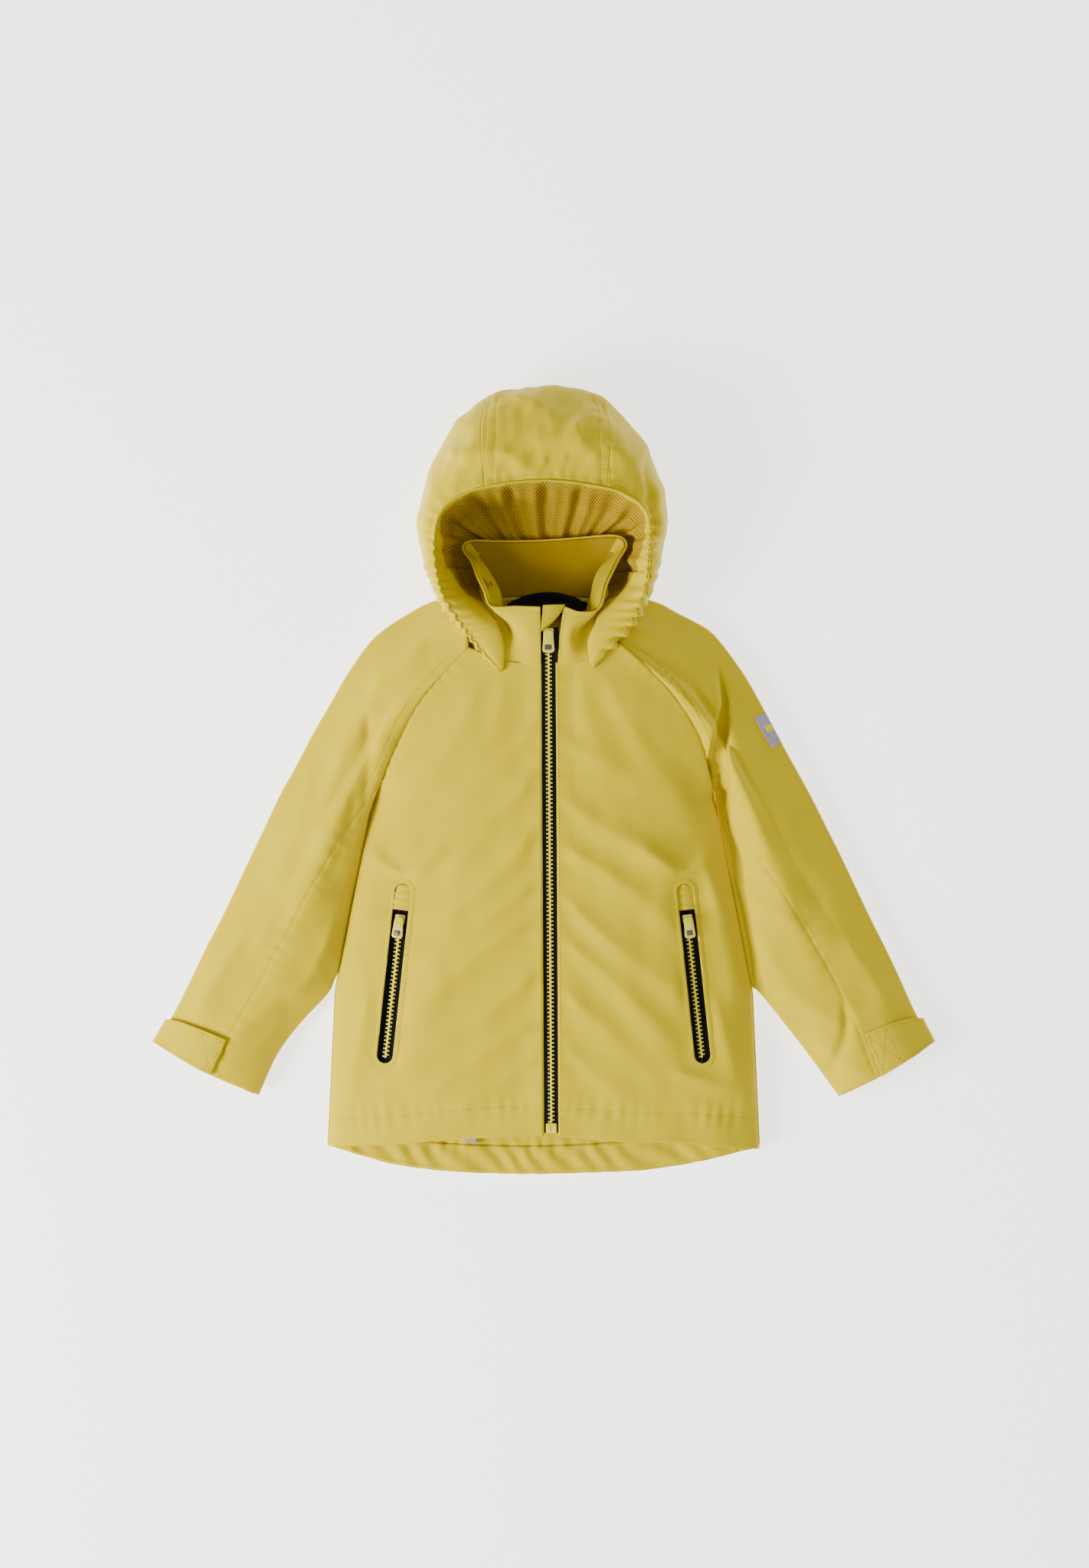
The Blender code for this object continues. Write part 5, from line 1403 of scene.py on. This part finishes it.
facing_share = np.interp(np.abs(place), [0, 0.42, 0.58, 0.72, 0.80, 1.0], [0.04, 0.06, 0.22, 0.50, 1.2, 1.2])
is_facing = (inside_run[:, :-1] < facing_share[:-1, None])
facing_mesh = as_mesh("hood_facing", inside, YELLOW, facing=(0, 0, 1), keep=is_facing)
net_mesh = as_mesh("hood_net", inside, NET_WITH_SHADED_HOLES, facing=(0, 0, 1), keep=~is_facing)
for piece, thick, slot_name in ((facing_mesh, 0.0007, "coated_yellow_fabric"),
                                (net_mesh, 0.0005, "net_lining")):
    cloth(piece, thick)
    lift_with_hood(piece)
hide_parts("hood_lining_centre", "hood_lining_left", "hood_lining_right")

# ======================================================================= hood edge binding
# A narrow elastic tape binds the rim. It lies flat and bright along the top, and bunches the cloth
# into small ruffles at both sides.


def tube(name, line, radius, mat, sides=8):
    """Closed round tube along a line."""
    line = np.array(line, float)
    run = np.gradient(line, axis=0)
    run /= np.linalg.norm(run, axis=1)[:, None]
    verts, faces = [], []
    guide = np.array([0.0, 0.0, 1.0])
    for p, d in zip(line, run):
        side_way = np.cross(d, guide)
        side_way /= max(np.linalg.norm(side_way), 1e-9)
        rise = np.cross(side_way, d)
        for e in range(sides):
            a = 2 * math.pi * e / sides
            verts.append(tuple(p + radius * (math.cos(a) * side_way + math.sin(a) * rise)))
    for k in range(len(line) - 1):
        for e in range(sides):
            f = (e + 1) % sides
            faces.append((k * sides + e, k * sides + f, (k + 1) * sides + f, (k + 1) * sides + e))
    faces.append(tuple(range(sides)))
    faces.append(tuple((len(line) - 1) * sides + e for e in range(sides))[::-1])
    return piece_from(name, verts, faces, mat, smooth=False)


ELASTIC = cloth_material("elastic_edge", (0.66, 0.50, 0.004), (0.72, 0.56, 0.006), 0.6, 1100, 0.8)
edge_line = (shell[:, 0] + inside[:, 0]) / 2
binding = tube("hood_edge_tape", edge_line[1:-1], 0.0011, ELASTIC)
binding.data.shade_smooth()
lift_with_hood(binding)
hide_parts("hood_binding")

# ======================================================================= collar
# A soft stand-up collar of shell cloth rises from the neck seam, stands around the opening and
# lies back under the hood. Its front ends meet at the zip and its sides fold under the hood.
COLLAR_TOP = [(-0.0030, 0.1605, 0.0630), (-0.0250, 0.1612, 0.0630), (-0.0480, 0.1620, 0.0600),
              (-0.0560, 0.1780, 0.0520),
              (-0.0660, 0.2000, 0.0420), (-0.0745, 0.2160, 0.0330), (-0.0660, 0.2235, 0.0250),
              (-0.0350, 0.2235, 0.0190),
              (0.0000, 0.2245, 0.0170), (0.0350, 0.2268, 0.0190), (0.0660, 0.2282, 0.0250),
              (0.0760, 0.2190, 0.0330),
              (0.0670, 0.2020, 0.0420), (0.0580, 0.1820, 0.0520), (0.0510, 0.1600, 0.0600),
              (0.0340, 0.1560, 0.0630),
              (0.0180, 0.1610, 0.0630)]
COLLAR_MIDDLE = [(-0.0027, 0.1340, 0.0612), (-0.0170, 0.1335, 0.0608), (-0.0300, 0.1380, 0.0500),
                 (-0.0400, 0.1660, 0.0440),
                 (-0.0500, 0.1900, 0.0340), (-0.0590, 0.2010, 0.0240), (-0.0540, 0.2000, 0.0170),
                 (-0.0310, 0.1975, 0.0125),
                 (0.0000, 0.1975, 0.0112), (0.0310, 0.1985, 0.0125), (0.0550, 0.2020, 0.0170),
                 (0.0605, 0.2020, 0.0240),
                 (0.0515, 0.1900, 0.0340), (0.0420, 0.1640, 0.0440), (0.0330, 0.1370, 0.0500),
                 (0.0240, 0.1330, 0.0608),
                 (0.0145, 0.1340, 0.0612)]
COLLAR_LOW = [(-0.0024, 0.1085, 0.0562), (-0.0240, 0.1095, 0.0560), (-0.0480, 0.1150, 0.0545),
              (-0.0620, 0.1240, 0.0500),
              (-0.0640, 0.1480, 0.0380), (-0.0580, 0.1610, 0.0240), (-0.0460, 0.1665, 0.0135),
              (-0.0260, 0.1690, 0.0095),
              (0.0000, 0.1700, 0.0085), (0.0260, 0.1690, 0.0095), (0.0460, 0.1665, 0.0135),
              (0.0580, 0.1610, 0.0240),
              (0.0640, 0.1480, 0.0380), (0.0630, 0.1240, 0.0500), (0.0500, 0.1150, 0.0545),
              (0.0320, 0.1095, 0.0558),
              (0.0128, 0.1085, 0.0562)]
COLLAR_COLS, COLLAR_ROWS = 281, 36
rings = [loose_curve(line, COLLAR_COLS) for line in (COLLAR_LOW, COLLAR_MIDDLE, COLLAR_TOP)]
wall = np.array([curve_through([ring[k] for ring in rings], COLLAR_ROWS) for k in range(COLLAR_COLS)])
normals = grid_normals(wall)
centre_back = COLLAR_COLS // 2
if normals[centre_back, COLLAR_ROWS // 2, 2] > 0:
    normals = -normals
ring_place = np.linspace(0, 1, COLLAR_COLS)[:, None]
rise = np.linspace(0, 1, COLLAR_ROWS)[None, :]
wave = drift(wall[..., :2], 60, 0.045, 0.0009, 131) + 0.0010 * np.sin(ring_place * 60 + rise * 3) * (1 - rise)
wave = wave - 0.0006 * np.exp(-((rise - 0.92) / 0.03) ** 2)
wall = wall + normals * wave[..., None]


def towards_outside(centres):
    away_from = centres - np.array([0.004, 0.175, 0.060])
    return away_from


collar = as_mesh("collar_cloth", wall, YELLOW, facing=towards_outside)
cloth(collar, 0.0016, offset=0.0)
lift_with_hood(collar)
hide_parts("collar", "collar_front_left", "collar_front_right")
collar_rows = [wall[6:int(COLLAR_COLS * 0.125), -3, :2], wall[int(COLLAR_COLS * 0.88):-3, -3, :2],
               wall[2:4, 4:-3, :2].mean(0), wall[-4:-2, 4:-3, :2].mean(0)]
sewn = stitches("collar_stitches", collar, collar_rows)
lift_with_hood(sewn)

# ======================================================================= collar lining and its band
# Smooth cloth lines the inside of the collar; its dark mustard colour is partly its dye and partly
# painted shade. A brighter band is folded over its side edges, and shows on both sides of the opening.
inner = wall - normals * 0.0014
lining_cols = slice(int(COLLAR_COLS * 0.135), int(COLLAR_COLS * 0.865))
lining = as_mesh("collar_lining_cloth", inner[lining_cols, 2:-1], LINING, facing=lambda c: -towards_outside(c))
cloth(lining, 0.0006)
lift_with_hood(lining)
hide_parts("collar_lining")
for label, first, last in (("right", 0.135, 0.365), ("left", 0.635, 0.865)):
    cols = slice(int(COLLAR_COLS * first), int(COLLAR_COLS * last))
    share = np.linspace(0, 1, 9)[None, :, None]
    upper_edge = inner[cols, -2][:, None] - normals[cols, -2][:, None] * 0.0006
    reach_down = inner[cols, -10][:, None] - normals[cols, -10][:, None] * 0.0016
    strip = upper_edge * (1 - share) + reach_down * share
    strip[..., 0] += 0.0010 * np.sin(np.linspace(0, 9, strip.shape[0]))[:, None] * share[..., 0]
    band = as_mesh(f"collar_band_{label}", strip, BAND, facing=lambda c: -towards_outside(c))
    cloth(band, 0.0005)
    lift_with_hood(band)

# ======================================================================= neck facing and hanger loop
# A black crescent of cloth covers the back neck seam inside, and a loop of black tape is sewn
# over it to hang the jacket by.
turns = np.linspace(-1, 1, 61)[:, None]
depth = np.linspace(0, 1, 9)[None, :]
face_x = 0.004 + 0.038 * turns + 0 * depth
face_y = 0.1765 - 0.0110 * turns ** 2 - (0.004 + 0.018 * (1 - turns ** 2)) * depth
crescent = np.dstack([face_x, face_y, 0.0118 + 0.0004 * np.sin(turns * 9) + 0.0014 * depth])
neck = as_mesh("neck_facing_cloth", crescent, BLACK)
cloth(neck, 0.0008)
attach(neck, "hood")
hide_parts("neck_facing")
bow = np.linspace(-1, 1, 41)
loop_line = np.stack([0.002 + 0.017 * bow, 0.1690 + 0.0045 * (1 - bow ** 2), 0.0142 + 0.0016 * (1 - bow ** 2)],
                     1)
wide = np.linspace(-0.0022, 0.0022, 5)
loop_points = loop_line[:, None] + np.stack([0 * wide, wide, 0.2 * wide], 1)[None]
loop = as_mesh("hanger_tape", loop_points, TAPE_MAT)
cloth(loop, 0.0009)
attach(loop, "hood")
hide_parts("hanger_loop")

# ======================================================================= chin guard
# A folded triangle of bright lining cloth covers the top of the zip, so that the slider doesn't
# pinch the chin.
down = np.linspace(0, 1, 31)[:, None]
over = np.linspace(0, 1, 21)[None, :]
left_x = -0.0006 - 0.0020 * down
right_x = 0.0194 - 0.0100 * down - 0.0105 * down ** 2.2
guard_x = left_x + (right_x - left_x) * over
guard_y = 0.1617 - 0.0237 * down + 0.0006 * over
guard_z = 0.0668 - 0.0024 * down + 0.0012 * np.sin(over * math.pi) * (1 - down) - 0.0022 * over ** 3
guard = as_mesh("chin_guard_cloth", np.dstack([guard_x, guard_y, guard_z]), BAND)
cloth(guard, 0.0011)
lift_with_hood(guard)
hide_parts("chin_guard")
sewn = stitches("chin_guard_stitches", guard,
                [np.stack([0.0008 - 0.0018 * down[2:-6, 0], 0.1612 - 0.0237 * down[2:-6, 0]], 1)], thick=0.0003)
lift_with_hood(sewn)

# ======================================================================= cuff tabs
# A cloth tab is sewn to the top of each sleeve, tapers and wraps over the outer edge of the cuff.
# It is box stitched and held by a hook patch on the tab and a loop patch on the sleeve.
HOOK = plain_material("hook_and_loop_mat", (0.40, 0.30, 0.010), (0.62, 0.48, 0.020), 0.9, grain=2200, bump=1.0,
                      depth=0.0006)


def on_sleeve(side, corners, wrap, rows, cols, lift, taper=0.0):
    """Grid that follows a sleeve's surface. Corners are inner top, inner foot, outer top, outer foot
    in plan; wrap is how many steps of the sleeve's ring it goes on past its outer fold."""
    front, under = sleeve_shell(side)[:2]
    ring = np.concatenate([front, under[:, -2:0:-1]], axis=1)
    count = ring.shape[1]
    spots = []
    for corner in corners:
        gap = np.linalg.norm(front[..., :2] - np.array(corner), axis=2)
        spots.append(np.array(np.unravel_index(np.argmin(gap), gap.shape), float))
    start_a, start_b, end_a, end_b = spots
    across = np.linspace(0, 1, cols)
    run = np.linspace(0, 1, rows)
    turn_at = 0.76 if wrap else 1.0
    points = np.zeros((rows, cols, 3))
    for i, a in enumerate(run):
        narrow = 1.0 if a < 0.78 or not taper else math.sqrt(max(1 - taper * ((a - 0.78) / 0.22) ** 2, 0.05))
        b = 0.5 + (across - 0.5) * narrow
        t = min(a / turn_at, 1.0)
        place_a = start_a + (start_b - start_a) * b[:, None]
        place_b = end_a + (end_b - end_a) * b[:, None]
        spot = place_a + (place_b - place_a) * t
        if a > turn_at:
            spot[:, 1] = spot[:, 1] - (spot[:, 1] + wrap) * (a - turn_at) / (1 - turn_at)
        r = np.clip(spot[:, 0], 0, SLEEVE_ROWS - 1.001)
        c = spot[:, 1]
        r0, c0 = r.astype(int), np.floor(c).astype(int)
        fr, fc = (r - r0)[:, None], (c - c0)[:, None]
        points[i] = ((1 - fr) * (1 - fc) * ring[r0, c0 % count] + (1 - fr) * fc * ring[r0, (c0 + 1) % count]
                     + fr * (1 - fc) * ring[r0 + 1, c0 % count] + fr * fc * ring[r0 + 1, (c0 + 1) % count])
    n = grid_normals(points)
    if n[rows // 4, cols // 2, 2] < 0:
        n = -n
    return points + n * lift


TAB_CORNERS = {
    -1: [(-0.2902, -0.2340), (-0.3064, -0.2677), (-0.3455, -0.2165), (-0.3555, -0.2370)],
    1: [(0.2926, -0.2282), (0.3087, -0.2688), (0.3455, -0.2160), (0.3555, -0.2370)],
}
for side in (-1, 1):
    name = SIDE_NAMES[side]
    grid = on_sleeve(side, TAB_CORNERS[side], 9, 71, 37, 0.0044, taper=0.8)
    grid[..., 2] += 0.0006 * np.sin(np.linspace(0, 7, 71))[:, None] * np.sin(np.linspace(0, math.pi, 37))[None,
                                                                                                          :]
    root = np.clip(1 - np.linspace(0, 1, 71) / 0.10, 0, 1)[:, None]
    grid[..., 2] -= 0.0012 * root
    tab = as_mesh(f"tab_cloth_{name}", grid, YELLOW, facing=(0, 0, 1))
    cloth(tab, 0.0019)
    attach(tab, f"tab_{name}")
    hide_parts(f"cuff_tab_{name}")
    flat = grid[..., :2]
    box_rows = [flat[2:50, 3], flat[2:50, -4], flat[2, 3:-3], flat[16, 3:-3],
                np.linspace(flat[2, 3], flat[16, -4], 12), np.linspace(flat[16, 3], flat[2, -4], 12)]
    sewn = stitches(f"tab_stitches_{name}", tab, box_rows)
    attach(sewn, f"tab_{name}")

    c = [np.array(p) for p in TAB_CORNERS[side]]
    patch_corners = [c[0] + 0.50 * (c[2] - c[0]) + 0.2 * (c[1] - c[0]),
                     c[1] + 0.50 * (c[3] - c[1]) - 0.2 * (c[1] - c[0]),
                     c[0] + 0.86 * (c[2] - c[0]) + 0.2 * (c[3] - c[2]),
                     c[1] + 0.86 * (c[3] - c[1]) - 0.2 * (c[3] - c[2])]
    loops = as_mesh(f"loop_patch_{name}", on_sleeve(side, patch_corners, 0, 21, 15, 0.0011), HOOK)
    hooks = as_mesh(f"hook_patch_{name}", on_sleeve(side, patch_corners, 0, 21, 15, 0.0023), HOOK)
    cloth(loops, 0.0010)
    cloth(hooks, 0.0009)
    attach(loops, f"sleeve_{name}")
    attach(hooks, f"tab_{name}")
    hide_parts(f"tab_loop_patch_{name}")
    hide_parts(f"tab_hook_patch_{name}")

# ======================================================================= reflective patch
# A grey patch of glass-bead film is sewn over the outer edge of the wearer's left shoulder, with
# a plain yellow bar printed across it.
FILM = plain_material("reflective_film", (0.34, 0.30, 0.33), (0.42, 0.37, 0.41), 0.40, 0.1, grain=260, bump=0.3)
INK = plain_material("yellow_print", (0.74, 0.60, 0.01), (0.80, 0.66, 0.02), 0.55, grain=400)
film = as_mesh("reflective_film_patch",
               on_sleeve(1, [(0.1935, 0.0600), (0.2105, 0.0310), (0.2035, 0.0665), (0.2185, 0.0380)],
                                                  6, 31, 25, 0.0007), FILM)
cloth(film, 0.0006)
bar = as_mesh("reflective_film_bar",
              on_sleeve(1, [(0.2035, 0.0525), (0.2065, 0.0470), (0.2085, 0.0550), (0.2115, 0.0500)],
                                               0, 9, 7, 0.00095), INK)
cloth(bar, 0.0004)
for piece in (film, bar):
    bend_at_shoulder(piece)
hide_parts("reflective_patch")

# ======================================================================= hem tag and pocket bags
# A small grey tag is caught in the back hem facing. The pocket bags hang unseen inside the fronts.
tag_u, tag_v = np.meshgrid(np.linspace(0, 1, 15), np.linspace(0, 1, 13))
tag_x = -0.0825 + 0.0210 * tag_u
tag_y = -0.3120 - 0.0145 * tag_v - 0.0052 * tag_u * tag_v
tag_plan = np.dstack([tag_x, tag_y])
tag = as_mesh("hem_tag_cloth", np.dstack([tag_plan, back_height(tag_plan) + 0.0030 + 0.0012 * tag_v * tag_u]),
              FILM)
cloth(tag, 0.0006)
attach(tag, "torso")
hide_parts("hem_tag")
for side in (-1, 1):
    bag_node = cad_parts[f"pocket_bag_{SIDE_NAMES[side]}"]
    bag_node.data.materials.clear()
    bag_node.data.materials.append(NET_WITH_SHADED_HOLES)
